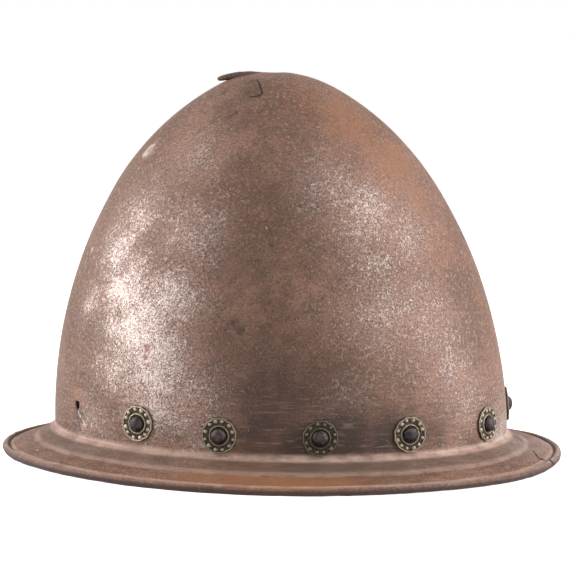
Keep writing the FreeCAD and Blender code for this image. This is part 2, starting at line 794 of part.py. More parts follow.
def make_rivet(number):
    """A rivet: a domed head on the rosette's seat, a shank, and an end hammered over."""
    label = "rivet_%02d" % number
    body = new_body(label)
    sketch = new_sketch(body, label + "_profile")
    seat = size("rosette_seat")
    head = size("head_diameter") / 2
    dome = size("head_height")
    shank = size("shank_diameter") / 2
    tail = size("tail_diameter") / 2
    end = -(inner_stack() + size("washer_thickness"))
    tip = end - size("tail_height")
    ball = (head ** 2 + dome ** 2) / (2 * dome)
    rim = direction((0, seat + dome - ball), (head, seat))

    top = arc(sketch, (0, seat + dome - ball), ball, rim, 90)
    under = line(sketch, (head, seat), (shank, seat))
    side = line(sketch, (shank, seat), (shank, end))
    shoulder = line(sketch, (shank, end), (tail, end))
    bevel = line(sketch, (tail, end), (shank, tip))
    face = line(sketch, (shank, tip), (0, tip))
    axis = line(sketch, (0, tip), (0, seat + dome))
    chain = [under, side, shoulder, bevel, face, axis]
    for first, second in zip(chain, chain[1:]):
        constrain(sketch, "Coincident", first, END, second, START)
    constrain(sketch, "Coincident", axis, END, top, END)
    constrain(sketch, "Coincident", top, START, under, START)
    constrain(sketch, "PointOnObject", top, CENTRE, V_AXIS)
    constrain(sketch, "PointOnObject", axis, START, V_AXIS)
    constrain(sketch, "PointOnObject", axis, END, V_AXIS)
    for level in (under, shoulder, face):
        constrain(sketch, "Horizontal", level)
    constrain(sketch, "Vertical", side)
    drive(sketch, "DistanceY", *ORIGIN, under, START, seat, to="rosette_seat")
    drive(sketch, "DistanceX", *ORIGIN, under, START, head, to="head_diameter / 2")
    drive(sketch, "DistanceY", under, START, axis, END, dome, to="head_height")
    drive(sketch, "DistanceX", *ORIGIN, under, END, shank, to="shank_diameter / 2")
    drive(sketch, "DistanceX", *ORIGIN, bevel, START, tail, to="tail_diameter / 2")
    drive(sketch, "DistanceX", *ORIGIN, face, START, shank, to="shank_diameter / 2")
    drive(sketch, "DistanceY", face, START, bevel, START, size("tail_height"), to="tail_height")
    constrain(sketch, "DistanceY", shoulder, START, *ORIGIN, -end)

    turned = body.newObject("PartDesign::Revolution", label + "_turned")
    turned.Profile = sketch
    turned.ReferenceAxis = (sketch, ["V_Axis"])
    turned.Angle = 360
    body.Tip = turned
    body.Placement = ROW[number]
    return body


def make_rivets():
    group = doc.addObject("Part::Compound", "rivets")
    group.Label = "rivets"
    group.Links = [make_rivet(number) for number in HELD]
    return group


# Assembly

pieces = [make_bowl(), make_band(), make_rivets()]
for place in HELD:
    pieces.append(make_rosette(place))
    pieces.append(make_washer(place))
doc.recompute()

failed = [thing.Label for thing in doc.Objects if {"Invalid", "Error"} & set(thing.State)]
if failed:
    raise RuntimeError("failed: " + ", ".join(failed))
for piece in pieces:
    if piece.Shape.isNull() or not piece.Shape.isValid():
        raise RuntimeError("bad shape: " + piece.Label)

os.makedirs("parts", exist_ok=True)
for piece in pieces:
    piece.Shape.exportStep("parts/%s.step" % piece.Label)
    solids = piece.Shape.Solids
    print(piece.Label, len(solids), "solid(s)", round(piece.Shape.Volume, 1), "mm3")
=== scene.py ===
# %% [markdown]
# # A cabasset
# An almond-shaped iron helmet with a narrow sloping brim. Its plate is rusted and worn
# bright in places, one brass rosette is lost and the tip of the brim is torn. The packed
# CAD model is the fixed frame: every piece here is built where the CAD says, in metres,
# and stands for a CAD node whose plain surface it replaces.

# %% The fixed frame
import math

import bmesh
import bpy
import numpy as np
from mathutils import Matrix, Vector, kdtree, noise
from mathutils.bvhtree import BVHTree


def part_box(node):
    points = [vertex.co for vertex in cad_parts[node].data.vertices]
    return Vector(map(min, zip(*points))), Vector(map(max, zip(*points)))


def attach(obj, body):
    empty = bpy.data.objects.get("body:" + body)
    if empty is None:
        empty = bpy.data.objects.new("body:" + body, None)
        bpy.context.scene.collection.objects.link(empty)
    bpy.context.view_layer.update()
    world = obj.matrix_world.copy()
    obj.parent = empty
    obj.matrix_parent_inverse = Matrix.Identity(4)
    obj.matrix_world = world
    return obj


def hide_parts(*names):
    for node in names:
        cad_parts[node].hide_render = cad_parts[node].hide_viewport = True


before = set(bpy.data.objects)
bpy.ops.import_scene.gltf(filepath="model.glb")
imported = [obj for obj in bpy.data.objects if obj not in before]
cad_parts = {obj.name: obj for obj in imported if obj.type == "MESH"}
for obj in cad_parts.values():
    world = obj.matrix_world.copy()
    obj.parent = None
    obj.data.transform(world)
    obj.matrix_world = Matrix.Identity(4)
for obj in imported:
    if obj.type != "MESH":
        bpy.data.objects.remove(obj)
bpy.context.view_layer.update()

# %% [markdown]
# ## Camera
# The photograph looks at the helmet's right side, a little from the front and a little
# from above, through a long lens. The camera comes first because some marks on the iron
# are placed by the pixel where the photograph shows them: a ray is cast through that pixel
# and meets the plate, so the mark lies on the surface from every side.

# %% Camera
MM = 0.001
FRAME_PIXELS = 570
SENSOR = 36.0
FOCAL_PIXELS = 2812.5
CAMERA_TURN = math.radians(4.19)
CAMERA_RISE = math.radians(6.88)
CAMERA_ROLL = math.radians(0.96)
CAMERA_DISTANCE = 1.501
AIM = Vector((0.6 * MM, 0.0, 91.3 * MM))

toward_camera = Vector((
    math.sin(CAMERA_TURN) * math.cos(CAMERA_RISE),
    -math.cos(CAMERA_TURN) * math.cos(CAMERA_RISE),
    math.sin(CAMERA_RISE),
))
ahead = -toward_camera
level_right = ahead.cross(Vector((0, 0, 1))).normalized()
level_up = level_right.cross(ahead)
camera_right = math.cos(CAMERA_ROLL) * level_right + math.sin(CAMERA_ROLL) * level_up
camera_up = math.cos(CAMERA_ROLL) * level_up - math.sin(CAMERA_ROLL) * level_right
camera_place = AIM + CAMERA_DISTANCE * toward_camera

camera_data = bpy.data.cameras.new("camera")
camera_data.sensor_width = SENSOR
camera_data.lens = FOCAL_PIXELS * SENSOR / FRAME_PIXELS
camera = bpy.data.objects.new("camera", camera_data)
bpy.context.scene.collection.objects.link(camera)
axes = Matrix((camera_right, camera_up, toward_camera)).transposed()
camera.matrix_world = Matrix.Translation(camera_place) @ axes.to_4x4()
bpy.context.scene.camera = camera
bpy.context.scene.view_settings.view_transform = "Standard"
print("lens", round(camera_data.lens, 1), "mm")


def sight(pixel):
    """Unit vector from the camera through a pixel of the photograph."""
    across = (pixel[0] - FRAME_PIXELS / 2) / FOCAL_PIXELS
    down = (pixel[1] - FRAME_PIXELS / 2) / FOCAL_PIXELS
    return (ahead + across * camera_right - down * camera_up).normalized()


# %% [markdown]
# ## The half section of the plate
# The smith raised skull and brim from one plate, so one line in section describes the whole
# bowl: three arcs down from the crown, a tight root corner, two straight bands of brim, a
# small groove and the hem, where the edge of the plate is turned under. The line is sampled
# finely where it bends and coarsely where it runs straight.

# %% Half section
PLATE = 1.4
HEM_PLATE = 1.0
RATIO = 0.80
LEAN = 0.030
CROWN = ((0.0, 139.558), 65.442)
SHOULDER = ((-41.886, 66.680), 149.499)
WALL = ((-129.613, 16.0), 250.813)
LOW_TURN = 30.015
HIGH_TURN = 60.110
STEEP = math.radians(34.5)
FLAT = math.radians(16.0)
CREASE = (133.0, 7.4)
HEM = (147.7, 2.22)
HEM_RADIUS = 2.3
ROOT_RADIUS = 2.0
CREASE_RADIUS = 1.3
GROOVE_RADIUS = 0.7
HEM_END = -135.0
BAND_BULGE = 0.55
GROOVE_SINK = 0.45
GROOVE_HALF = 0.7


def on_arc(centre, radius, start, end, count):
    """Points along an arc from one turn to another, in degrees, without the last."""
    turns = np.radians(np.linspace(start, end, count, endpoint=False))
    return np.column_stack((
        centre[0] + radius * np.cos(turns),
        centre[1] + radius * np.sin(turns),
    ))


def on_line(start, end, count):
    return np.linspace(start, end, count, endpoint=False)


def band_line(reach, slope):
    """Height of a band of the brim at a reach from the middle."""
    return CREASE[1] - math.tan(slope) * (reach - CREASE[0])


wall_reach = WALL[0][0] + WALL[1]
root_corner = band_line(wall_reach, STEEP)
root_height = root_corner + ROOT_RADIUS * math.tan((math.pi / 2 - STEEP) / 2)
root_centre = (wall_reach + ROOT_RADIUS, root_height)
steep_end = math.degrees(STEEP)
flat_end = math.degrees(FLAT)
crease_cut = CREASE_RADIUS * math.tan((STEEP - FLAT) / 2)
crease_start = (CREASE[0] - crease_cut * math.cos(STEEP), CREASE[1] + crease_cut * math.sin(STEEP))
crease_centre = (
    crease_start[0] + CREASE_RADIUS * math.sin(STEEP),
    crease_start[1] + CREASE_RADIUS * math.cos(STEEP),
)
crease_finish = (CREASE[0] + crease_cut * math.cos(FLAT), CREASE[1] - crease_cut * math.sin(FLAT))

below_band = (band_line(HEM[0], FLAT) - HEM[1]) * math.cos(FLAT)
groove_above = GROOVE_RADIUS + below_band
groove_back = math.sqrt((HEM_RADIUS + GROOVE_RADIUS) ** 2 - groove_above ** 2)
groove_centre = (
    HEM[0] + groove_above * math.sin(FLAT) - groove_back * math.cos(FLAT),
    HEM[1] + groove_above * math.cos(FLAT) + groove_back * math.sin(FLAT),
)
groove_turn = math.degrees(math.atan2(groove_centre[1] - HEM[1], groove_centre[0] - HEM[0]))
groove_start = (
    groove_centre[0] - GROOVE_RADIUS * math.sin(FLAT),
    groove_centre[1] - GROOVE_RADIUS * math.cos(FLAT),
)
root_finish = (
    root_centre[0] - ROOT_RADIUS * math.sin(STEEP),
    root_centre[1] - ROOT_RADIUS * math.cos(STEEP),
)

section = np.vstack((
    on_arc(*CROWN, 90, HIGH_TURN, 30)[1:],
    on_arc(*SHOULDER, HIGH_TURN, LOW_TURN, 44),
    on_arc(*WALL, LOW_TURN, 0.1, 66),
    on_arc(root_centre, ROOT_RADIUS, 180, 270 - steep_end, 7),
    on_line(root_finish, crease_start, 12),
    on_arc(crease_centre, CREASE_RADIUS, 270 - steep_end, 270 - flat_end, 5),
    on_line(crease_finish, groove_start, 12),
    on_arc(groove_centre, GROOVE_RADIUS, 270 - flat_end, 180 + groove_turn, 6),
    on_arc(HEM, HEM_RADIUS, groove_turn, HEM_END, 30),
    on_arc(HEM, HEM_RADIUS, HEM_END, HEM_END, 1),
))
outer_band = np.clip((section[:, 0] - CREASE[0]) / (groove_start[0] - CREASE[0]), 0, 1)
section[:, 1] += BAND_BULGE * np.sin(np.pi * outer_band)
from_groove = np.hypot(*(section - groove_centre).T) - GROOVE_RADIUS
section[:, 1] -= GROOVE_SINK * np.exp(-(from_groove / GROOVE_HALF) ** 2)
run = np.concatenate(([0], np.cumsum(np.hypot(*np.diff(section, axis=0).T))))
CREASE_AT = np.hypot(*(section - CREASE).T).argmin()
ROOT_RUN = run[np.hypot(*(section - root_finish).T).argmin()] - run[CREASE_AT]
GROOVE_RUN = run[from_groove.argmin()] - run[CREASE_AT]
HEM_RUN = run[section[:, 0].argmax()] - run[CREASE_AT]
run -= run[CREASE_AT]
print("from the crease: root", round(ROOT_RUN, 1), "groove", round(GROOVE_RUN, 1),
      "outermost hem", round(HEM_RUN, 1))
print("section has", len(section), "points, out to", round(section[:, 0].max(), 1), "mm")

# %% [markdown]
# ## Skull and brim
# A turned form pressed to an oval is too perfect for a hand-raised helmet, so the section is
# swept round the oval: each row of the mesh is one ring. The oval is pressed to 0.8
# of its length, its brim comes to a soft point at both ends, and the skull leans back.
# Broad unevenness and hundreds of shallow hammer dents then move each point along its own
# normal. The inner face is the same rows again, one plate's thickness further in.

# %% Rings of the bowl
COLUMNS = 576
BRIM_POINT = 1.92
BRIM_FROM = 121.2
HEM_FROM = 144.0
HEM_HALF_WIDTH = 113.80
SKULL_ENDS = (118.0, 124.0)
THINNER_FROM = (143.0, 146.0)
HEM_STARTS = (144.8, 146.5)
UNEVEN = 0.30
UNEVEN_LENGTHS = (52.0, 21.0)
WARP = 0.45
WARP_LENGTH = 62.0
WARP_FULL = 150.0
TIP_LIFT = 3.2
LIFT_ALONG = (90.0, 145.0)
LIFT_ACROSS = (-70.0, 20.0)
LIFT_FULL = 140.0
DENTS = 620
DENT_DEPTH = 0.07
DENT_SIZES = (4.5, 10.0)
CALM_LOW = 14.0
CALM_HIGH = 44.0
CALM_FADE = (4, 20)


def smooth_step(value, low, high):
    share = np.clip((value - low) / (high - low), 0.0, 1.0)
    return share * share * (3 - 2 * share)


def waves(points, length, seed):
    """Smooth noise from -1 to 1 at each point, with features of about this length in mm."""
    offset = Vector((seed * 17.3, seed * 5.1, seed * 9.7))
    return np.array([noise.noise(Vector(point) / length + offset) for point in points])


def full_turn(columns):
    """Evenly spaced turns round a circle, one for each column of a mesh."""
    return 2 * np.pi * np.arange(columns) / columns


def powered(values, power):
    """Values raised to a power, with their signs kept: squarer or more pointed ovals."""
    return np.sign(values) * np.abs(values) ** power


def sweep(profile, columns):
    """Rings of points round the oval, in mm, one row for each point of the profile."""
    turns = full_turn(columns)
    reach = profile[:, :1]
    height = profile[:, 1:]
    half = np.minimum(reach, HEM_FROM)
    wide = np.interp(half, [0, CREASE[0], HEM_FROM], [0, RATIO * CREASE[0], HEM_HALF_WIDTH])
    power = 2 / (2 - (2 - BRIM_POINT) * smooth_step(reach, BRIM_FROM, HEM_FROM))
    cosine = powered(np.cos(turns), power)
    sine = powered(np.sin(turns), power)
    out_x = np.cos(turns) / HEM_FROM
    out_y = np.sin(turns) / HEM_HALF_WIDTH
    size = np.hypot(out_x, out_y)
    beyond = np.maximum(reach - HEM_FROM, 0)
    return np.stack((
        half * cosine + beyond * out_x / size - LEAN * height,
        wide * sine + beyond * out_y / size,
        height + 0 * turns,
    ), axis=-1)


def tree_of(points):
    """A search tree that finds the points near a place."""
    tree = kdtree.KDTree(len(points))
    for index, point in enumerate(points):
        tree.insert(point, index)
    tree.balance()
    return tree


def outward(rings):
    """Unit normals of a grid of rings, outward from the helmet."""
    down = np.gradient(rings, axis=0)
    across = np.roll(rings, -1, axis=1) - np.roll(rings, 1, axis=1)
    normals = np.cross(down, across)
    return normals / np.linalg.norm(normals, axis=-1, keepdims=True)


rings = sweep(section, COLUMNS)
flat_rings = rings.reshape(-1, 3)
reach_of = np.repeat(section[:, 0], COLUMNS)
height_of = flat_rings[:, 2]
on_skull = 1 - smooth_step(reach_of, *SKULL_ENDS)
calm = 1 - 0.8 * smooth_step(height_of, CALM_LOW, CALM_LOW + CALM_FADE[0]) * (
    1 - smooth_step(height_of, CALM_HIGH, CALM_HIGH + CALM_FADE[1])
)
broad, narrow = (waves(flat_rings, length, seed)
                 for seed, length in enumerate(UNEVEN_LENGTHS, 1))
push = UNEVEN * (broad + 0.5 * narrow)
push = push * calm * (0.35 + 0.65 * on_skull)

tree = tree_of(flat_rings)
chance = np.random.default_rng(5)
for _ in range(DENTS):
    spot = flat_rings[chance.integers(len(flat_rings))]
    wide = chance.uniform(*DENT_SIZES)
    depth = DENT_DEPTH * chance.uniform(0.3, 1.0) * wide / 8
    for _, index, away in tree.find_range(spot, wide):
        push[index] -= depth * (1 - (away / wide) ** 2) ** 2 * calm[index]

on_hem = smooth_step(reach_of, *HEM_STARTS)
push += on_hem * (0.16 * waves(flat_rings, 5.5, 3) + 0.10 * waves(flat_rings, 16.0, 4))
rings += outward(rings) * push.reshape(len(section), COLUMNS, 1)
warp = WARP * waves(rings[-1] * (1, 1, 0), WARP_LENGTH, 5)
rings[:, :, 2] += warp * smooth_step(section[:, :1], BRIM_FROM + 2, WARP_FULL)
lifted = smooth_step(rings[:, :, 0], *LIFT_ALONG) * smooth_step(rings[:, :, 1], *LIFT_ACROSS)
rings[:, :, 2] += TIP_LIFT * lifted * smooth_step(section[:, :1], BRIM_FROM, LIFT_FULL)
print("bowl rings", rings.shape)

# %% [markdown]
# The two faces are joined into one closed shell. Near the crown the rings get small, so
# every second column is dropped step by step, which keeps the faces near square and the
# top free of a pinched fan. Round the edge of the plate a few rows turn the corner.

# %% Shell of the bowl
EDGE_STEPS = 5
FEWER_BELOW = 36.0
FEWEST = 32
EDGE_REACH = [section[-1, 0]] * (EDGE_STEPS - 1)


def thinned(row, reach):
    """The columns of a ring that are kept at this reach from the middle."""
    step = 1
    while reach < FEWER_BELOW / step and step < FEWEST:
        step *= 2
    return row[::step]


def join(faces, above, below):
    """Faces between two rings, where the lower may have twice the columns of the upper."""
    count = len(above)
    double = len(below) // count
    for n in range(count):
        after = (n + 1) % count
        if double == 1:
            faces.append((above[n], below[n], below[after], above[after]))
            continue
        middle = below[2 * n + 1]
        faces.append((above[n], below[2 * n], middle))
        faces.append((above[n], middle, above[after]))
        faces.append((above[after], middle, below[(2 * n + 2) % len(below)]))


def numbered(rings, first):
    """The point numbers of a grid of rings, row by row."""
    rows, columns = rings.shape[:2]
    return [list(range(first + row * columns, first + (row + 1) * columns)) for row in range(rows)]


def skin(rows, closed=False):
    """Faces over rows of points: back round to the first row, or capped at both ends."""
    made = []
    for above, below in zip(rows, rows[1:] + rows[:1] if closed else rows[1:]):
        join(made, above, below)
    return made if closed else made + [tuple(rows[0]), tuple(rows[-1])]


def make_mesh(name, points, faces):
    """A smooth mesh object from points in mm, without unused points."""
    mesh = bpy.data.meshes.new(name)
    mesh.from_pydata((np.asarray(points, float) * MM).tolist(), [], faces)
    shape = bmesh.new()
    shape.from_mesh(mesh)
    loose = [vertex for vertex in shape.verts if not vertex.link_faces]
    bmesh.ops.delete(shape, geom=loose, context="VERTS")
    bmesh.ops.recalc_face_normals(shape, faces=shape.faces)
    for face in shape.faces:
        face.smooth = True
    shape.to_mesh(mesh)
    shape.free()
    piece = bpy.data.objects.new(name, mesh)
    bpy.context.scene.collection.objects.link(piece)
    return piece


thickness = PLATE + (HEM_PLATE - PLATE) * smooth_step(section[:, :1, None], *THINNER_FROM)
inside = rings - outward(rings) * thickness
middle = (rings[-1] + inside[-1]) / 2
half_edge = (rings[-1] - inside[-1]) / 2
past_edge = rings[-1] - rings[-2]
past_edge *= HEM_PLATE / 2 / np.linalg.norm(past_edge, axis=-1, keepdims=True)
edge = [
    middle + half_edge * math.cos(turn) + past_edge * math.sin(turn)
    for turn in np.linspace(0, math.pi, EDGE_STEPS + 1)[1:-1]
]
outside = np.concatenate((rings, np.stack(edge)))
for face_rings in (outside, inside):
    face_rings[:, :, 2] = np.maximum(face_rings[:, :, 2], 0.0)

apex = np.array((-LEAN * outside[0, :, 2].max(), 0.0, outside[0, :, 2].max() + 0.02))
points = np.vstack((
    outside.reshape(-1, 3), inside.reshape(-1, 3), apex, apex - (0, 0, PLATE),
))
faces = []
ends = []
for side, grid in enumerate((outside, inside)):
    rows = numbered(grid, side * outside.shape[0] * COLUMNS)
    rows = [thinned(row, reach) for row, reach in zip(rows, np.append(section[:, 0], EDGE_REACH))]
    top = len(points) - 2 + side
    for n in range(len(rows[0])):
        faces.append((top, rows[0][n], rows[0][(n + 1) % len(rows[0])]))
    for above, below in zip(rows, rows[1:]):
        join(faces, above, below)
    ends.append(rows[-1])
join(faces, *ends)
bowl = make_mesh("skull_and_brim", points, faces)
print("bowl has", len(bowl.data.polygons), "faces")

# %% [markdown]
# ## Marks by pixel
# A ray through a pixel of the photograph meets the bowl at the place of a crack or a stain.
# Cracks are real cuts: a thin wedge follows the line and a Boolean takes it out of the
# plate. Stains and worn places are painted as attributes on the mesh, and with them a
# painted sheen of highlight and painted shade, soft at this stage; the finish later
# breaks up their edges with noise.

# %% Rays onto the bowl
surface = BVHTree.FromObject(bowl, bpy.context.evaluated_depsgraph_get())


def on_bowl(pixel):
    """Place and outward normal in mm where a photograph's pixel meets the bowl."""
    place, normal, _, _ = surface.ray_cast(camera_place, sight(pixel))
    return np.array(place) / MM, np.array(normal)


MIDDLE_PIXEL = (285, 300)
print("the middle pixel is at", on_bowl(MIDDLE_PIXEL)[0].round(1))

# %% Cracks and the open hole
TIP_CRACK = [(533, 451), (536.5, 455.5), (540, 459.3), (545, 460), (549, 460), (552, 462.5),
             (554, 465)]
TIP_CRACK_WIDTHS = [0.1, 0.25, 0.35, 0.5, 0.9, 1.5, 1.9, 2.4]
TIP_CRACK_END = (5.0, -3.0, -2.0)
OPENS_AT = 4
CROWN_CRACK = [(257, 79.5), (259.5, 84), (261, 89), (262.7, 93.3), (259.5, 95.6), (255.9, 96.7),
               (249.5, 96.7)]
CROWN_CRACK_WIDTHS = [0.15, 0.35, 0.4, 0.5, 0.4, 0.35, 0.1]


def wedge(name, places, normals, widths, above, below):
    """A closed strip that follows places on the plate, reaching out and in from them."""
    along = np.gradient(np.array(places), axis=0)
    ring_points = []
    for place, normal, way, width in zip(places, normals, along, widths):
        across = np.cross(normal, way)
        across /= np.linalg.norm(across)
        for side, depth in ((-1, above), (1, above), (1, -below), (-1, -below)):
            ring_points.append(place + across * side * width / 2 + normal * depth)
    rows = [list(range(4 * n, 4 * n + 4)) for n in range(len(places))]
    return make_mesh(name, ring_points, skin(rows))


def take_out(piece, tool):
    """Cuts a tool out of a piece for good and throws the tool away."""
    cut = piece.modifiers.new("cut", "BOOLEAN")
    cut.operation = "DIFFERENCE"
    cut.object = tool
    cut.solver = "MANIFOLD"
    depsgraph = bpy.context.evaluated_depsgraph_get()
    result = bpy.data.meshes.new_from_object(piece.evaluated_get(depsgraph))
    piece.modifiers.clear()
    piece.data = result
    bpy.data.objects.remove(tool)


tip_marks = [on_bowl(pixel) for pixel in TIP_CRACK]
last_place, last_normal = tip_marks[-1]
print("tip crack ends at", last_place.round(1))
tip_places = [place for place, _ in tip_marks] + [last_place + TIP_CRACK_END]
tip_normals = [normal for _, normal in tip_marks] + [last_normal]
take_out(bowl, wedge(
    "tip_crack", tip_places, tip_normals, TIP_CRACK_WIDTHS, above=4.0, below=6.0))

crown_places, crown_normals = zip(*(on_bowl(pixel) for pixel in CROWN_CRACK))
take_out(bowl, wedge(
    "crown_crack", crown_places, crown_normals, CROWN_CRACK_WIDTHS, above=1.0, below=0.5))
print("bowl after the cracks has", len(bowl.data.polygons), "faces")

# %% [markdown]
# The hole at the lost rosette has worn corners, not a drilled edge. A tool with a wavy
# outline takes it out, and a nick runs on from its lower edge.

# %% Open hole
HOLE_PIXEL = (77.5, 404.5)
HOLE_RADIUS = 2.2
RAGGED = 0.16
NICK_DEPTH = 0.55
NICK_HALF = 0.22


def ragged_tool(name, place, normal, radius, length, seed, sides=28):
    """A round bar with an uneven outline, standing through the plate."""
    up = np.cross(normal, np.cross((0, 0, 1), normal))
    up /= np.linalg.norm(up)
    across = np.cross(up, normal)
    turns = full_turn(sides)
    ring = radius * (1 + RAGGED * waves(np.column_stack((
        3 * np.cos(turns), 3 * np.sin(turns), 0 * turns)), 1.6, seed))
    ring *= 1 + NICK_DEPTH * np.exp(-((turns - 1.5 * np.pi) / NICK_HALF) ** 2)
    flat = np.outer(ring * np.cos(turns), across) + np.outer(ring * np.sin(turns), up)
    ends = np.vstack((place + flat + length * normal, place + flat - length * normal))
    return make_mesh(name, ends, skin([list(range(sides)), list(range(sides, 2 * sides))]))


hole_place, hole_normal = on_bowl(HOLE_PIXEL)
take_out(bowl, ragged_tool(
    "hole_tool", hole_place, hole_normal, HOLE_RADIUS, length=6.0, seed=7))
print("open hole at", hole_place.round(1))

# %% [markdown]
# ## Painting the iron
# Painted layers say where the iron is worn bright, where soot and wax have darkened it,
# where the rust is orange, and where single stains lie. The layer of worn places also
# carries a painted sheen where the highlights of the lamps fall, and the soot layer also
# carries painted shade down the dark middle of the skull and along the foot of the wall.
# Each mark is a soft spot round a place that is found by pixel; the marks on the near side
# are repeated on the far side a little displaced, because the far side of such a helmet has
# had the same life. Three more layers tell the finish where on the plate a point lies:
# whether it is in a crack, which the finish paints with dark shade, how far along the
# section it is from the crease of the brim, and whether it is on the inner face.

# %% Painted layers
WEAR_AND_SHEEN = [
    ((140, 330), 30, 1.0), ((125, 290), 26, 0.85), ((120, 250), 22, 0.75), ((140, 215), 22, 0.6),
    ((150, 365), 28, 0.95), ((165, 300), 24, 0.75), ((155, 400), 24, 0.75), ((115, 370), 18, 0.7),
    ((150, 150), 5, 0.9), ((190, 235), 26, 0.5), ((365, 212), 24, 0.58), ((372, 255), 26, 0.35),
    ((385, 310), 30, 0.45), ((330, 190), 22, 0.4), ((94, 300), 14, 0.6), ((92, 420), 18, 0.5),
    ((185, 400), 24, 0.55), ((200, 440), 16, 0.4), ((430, 330), 26, 0.4), ((470, 400), 20, 0.35),
    ((400, 235), 22, 0.4), ((200, 160), 20, 0.35), ((350, 400), 16, 0.25), ((450, 370), 20, 0.4),
    ((535, 440), 22, 0.8), ((500, 438), 20, 0.7), ((548, 456), 14, 0.6),
]
SOOT_AND_SHADE = [
    ((345, 440), 24, 1.0), ((300, 447), 22, 0.95), ((385, 440), 20, 0.85), ((262, 436), 24, 0.75),
    ((430, 430), 16, 0.6), ((320, 415), 22, 0.5), ((240, 405), 28, 0.5), ((300, 390), 30, 0.42),
    ((80, 415), 7, 0.6), ((415, 412), 10, 0.5), ((250, 165), 30, 0.35), ((265, 235), 28, 0.4),
    ((235, 345), 28, 0.45), ((270, 300), 26, 0.45), ((300, 130), 22, 0.25), ((225, 110), 14, 0.3),
    ((250, 90), 14, 0.45), ((497, 425), 10, 0.5), ((480, 370), 9, 0.3),
    ((285, 195), 32, 0.4), ((250, 262), 34, 0.45), ((275, 335), 34, 0.5), ((255, 392), 34, 0.6),
    ((325, 385), 30, 0.45), ((300, 260), 26, 0.35), ((222, 340), 20, 0.35), ((370, 420), 20, 0.5),
    ((215, 430), 16, 0.5), ((160, 430), 12, 0.35), ((250, 130), 24, 0.35), ((265, 425), 24, 0.75),
    ((290, 330), 40, 0.35), ((250, 300), 34, 0.35), ((300, 430), 30, 0.6), ((240, 370), 30, 0.5),
    ((275, 398), 42, 0.7), ((325, 400), 30, 0.5),
]
ORANGE = [
    ((350, 120), 26, 0.7), ((390, 160), 26, 0.7), ((300, 100), 22, 0.4), ((440, 250), 24, 0.4),
    ((340, 482), 24, 0.6), ((290, 482), 24, 0.9), ((250, 478), 22, 0.9), ((200, 474), 20, 0.6),
    ((110, 300), 9, 0.4), ((128, 235), 10, 0.4), ((480, 300), 14, 0.4), ((420, 200), 18, 0.5),
    ((75, 395), 12, 0.5), ((85, 428), 3, 0.9), ((400, 400), 12, 0.3), ((470, 262), 10, 0.4),
]
STAIN = [
    ((238, 330), 4, 0.8), ((243, 340), 3.4, 0.8), ((233, 322), 3, 0.8), ((250, 312), 3, 0.5),
    ((270, 300), 4, 0.6), ((270, 245), 3.5, 0.6), ((229, 117), 2.6, 0.9), ((211, 97), 2.5, 0.8),
    ((236, 113), 2.5, 0.8), ((248, 92), 3, 0.8), ((256, 119), 2.5, 0.6), ((150, 150), 4, 0.6),
    ((205, 210), 3, 0.4), ((310, 275), 3, 0.5), ((408, 408), 3, 0.5), ((252, 81), 3, 0.9),
    ((224, 92), 3.5, 0.9), ((232, 100), 3, 0.7), ((262, 112), 3, 0.5),
    ((81.4, 419.4), 1.2, 1.0), ((75, 424), 3, 0.7), ((258, 96), 3, 0.7), ((30, 441), 3, 0.7),
    ((262, 372), 3, 0.5), ((272, 380), 3.5, 0.5), ((252, 377), 2.5, 0.5),
]
RUST_SPOT = [
    ((147, 347), 2.6, 1.0), ((145, 357), 2.2, 1.0), ((104, 293), 4.0, 0.7), ((100, 300), 3.0, 0.6),
    ((300, 272), 3.0, 0.5), ((470, 262), 3.0, 0.6), ((467, 255), 2.5, 0.6), ((483, 300), 3.0, 0.5),
]
BARE = [
    ((78.5, 413), 1.3, 1.0), ((80.5, 416.5), 1.3, 0.9), ((83.5, 420), 1.4, 0.9),
    ((85, 425), 1.6, 1.0), ((267, 228), 0.8, 1.0), ((37, 450), 1.2, 0.9), ((92, 250), 2.5, 0.8),
    ((94, 258), 2.0, 0.7), ((151, 148), 4.0, 0.9), ((146, 153), 4.0, 0.9),
]


def points_of(piece):
    """Points of a mesh object in mm."""
    return np.array([vertex.co for vertex in piece.data.vertices]) / MM


def paint(piece, name, marks, mirror_gap=0.0):
    """Stores soft spots on a mesh, as a number from 0 to 1 at each point."""
    points = points_of(piece)
    amount = np.zeros(len(points))
    for number, (pixel, radius, strength) in enumerate(marks):
        place, _ = on_bowl(pixel)
        places = [place]
        if mirror_gap:
            shift = mirror_gap * np.array((math.cos(9 * number), 0, math.sin(5 * number)))
            places.append(place * (1, -1, 1) + shift)
        for spot in places:
            away = np.linalg.norm(points - spot, axis=1) / radius
            amount = np.maximum(amount, strength * np.exp(-away ** 2 * 1.2))
    store(piece, name, amount)
    print(name, "covers", round(float((amount > 0.3).mean()) * 100, 1), "% of the points")


def store(piece, name, values):
    layer = piece.data.attributes.new(name, "FLOAT", "POINT")
    layer.data.foreach_set("value", np.asarray(values, np.float32))


def near_line(points, places, reach):
    """1 on a line through places, falling to 0 at this reach from it, in mm."""
    dense = np.vstack([
        np.linspace(first, second, 12) for first, second in zip(places, places[1:])])
    amount = np.zeros(len(points))
    for place in dense:
        away = np.linalg.norm(points - place, axis=1)
        amount = np.maximum(amount, 1 - away / reach)
    return amount


paint(bowl, "worn", WEAR_AND_SHEEN, mirror_gap=9.0)
paint(bowl, "soot_and_shade", SOOT_AND_SHADE, mirror_gap=6.0)
paint(bowl, "orange", ORANGE, mirror_gap=12.0)
paint(bowl, "stain", STAIN, mirror_gap=14.0)
paint(bowl, "rust_spot", RUST_SPOT, mirror_gap=11.0)
paint(bowl, "bare", BARE)

bowl_points = points_of(bowl)
cracked = np.max((
    near_line(bowl_points, tip_places[OPENS_AT:], 1.5),
    0.75 * near_line(bowl_points, tip_places[:OPENS_AT + 1], 1.1),
    0.7 * near_line(bowl_points, crown_places, 1.0),
), axis=0)
store(bowl, "crack_shade", cracked)

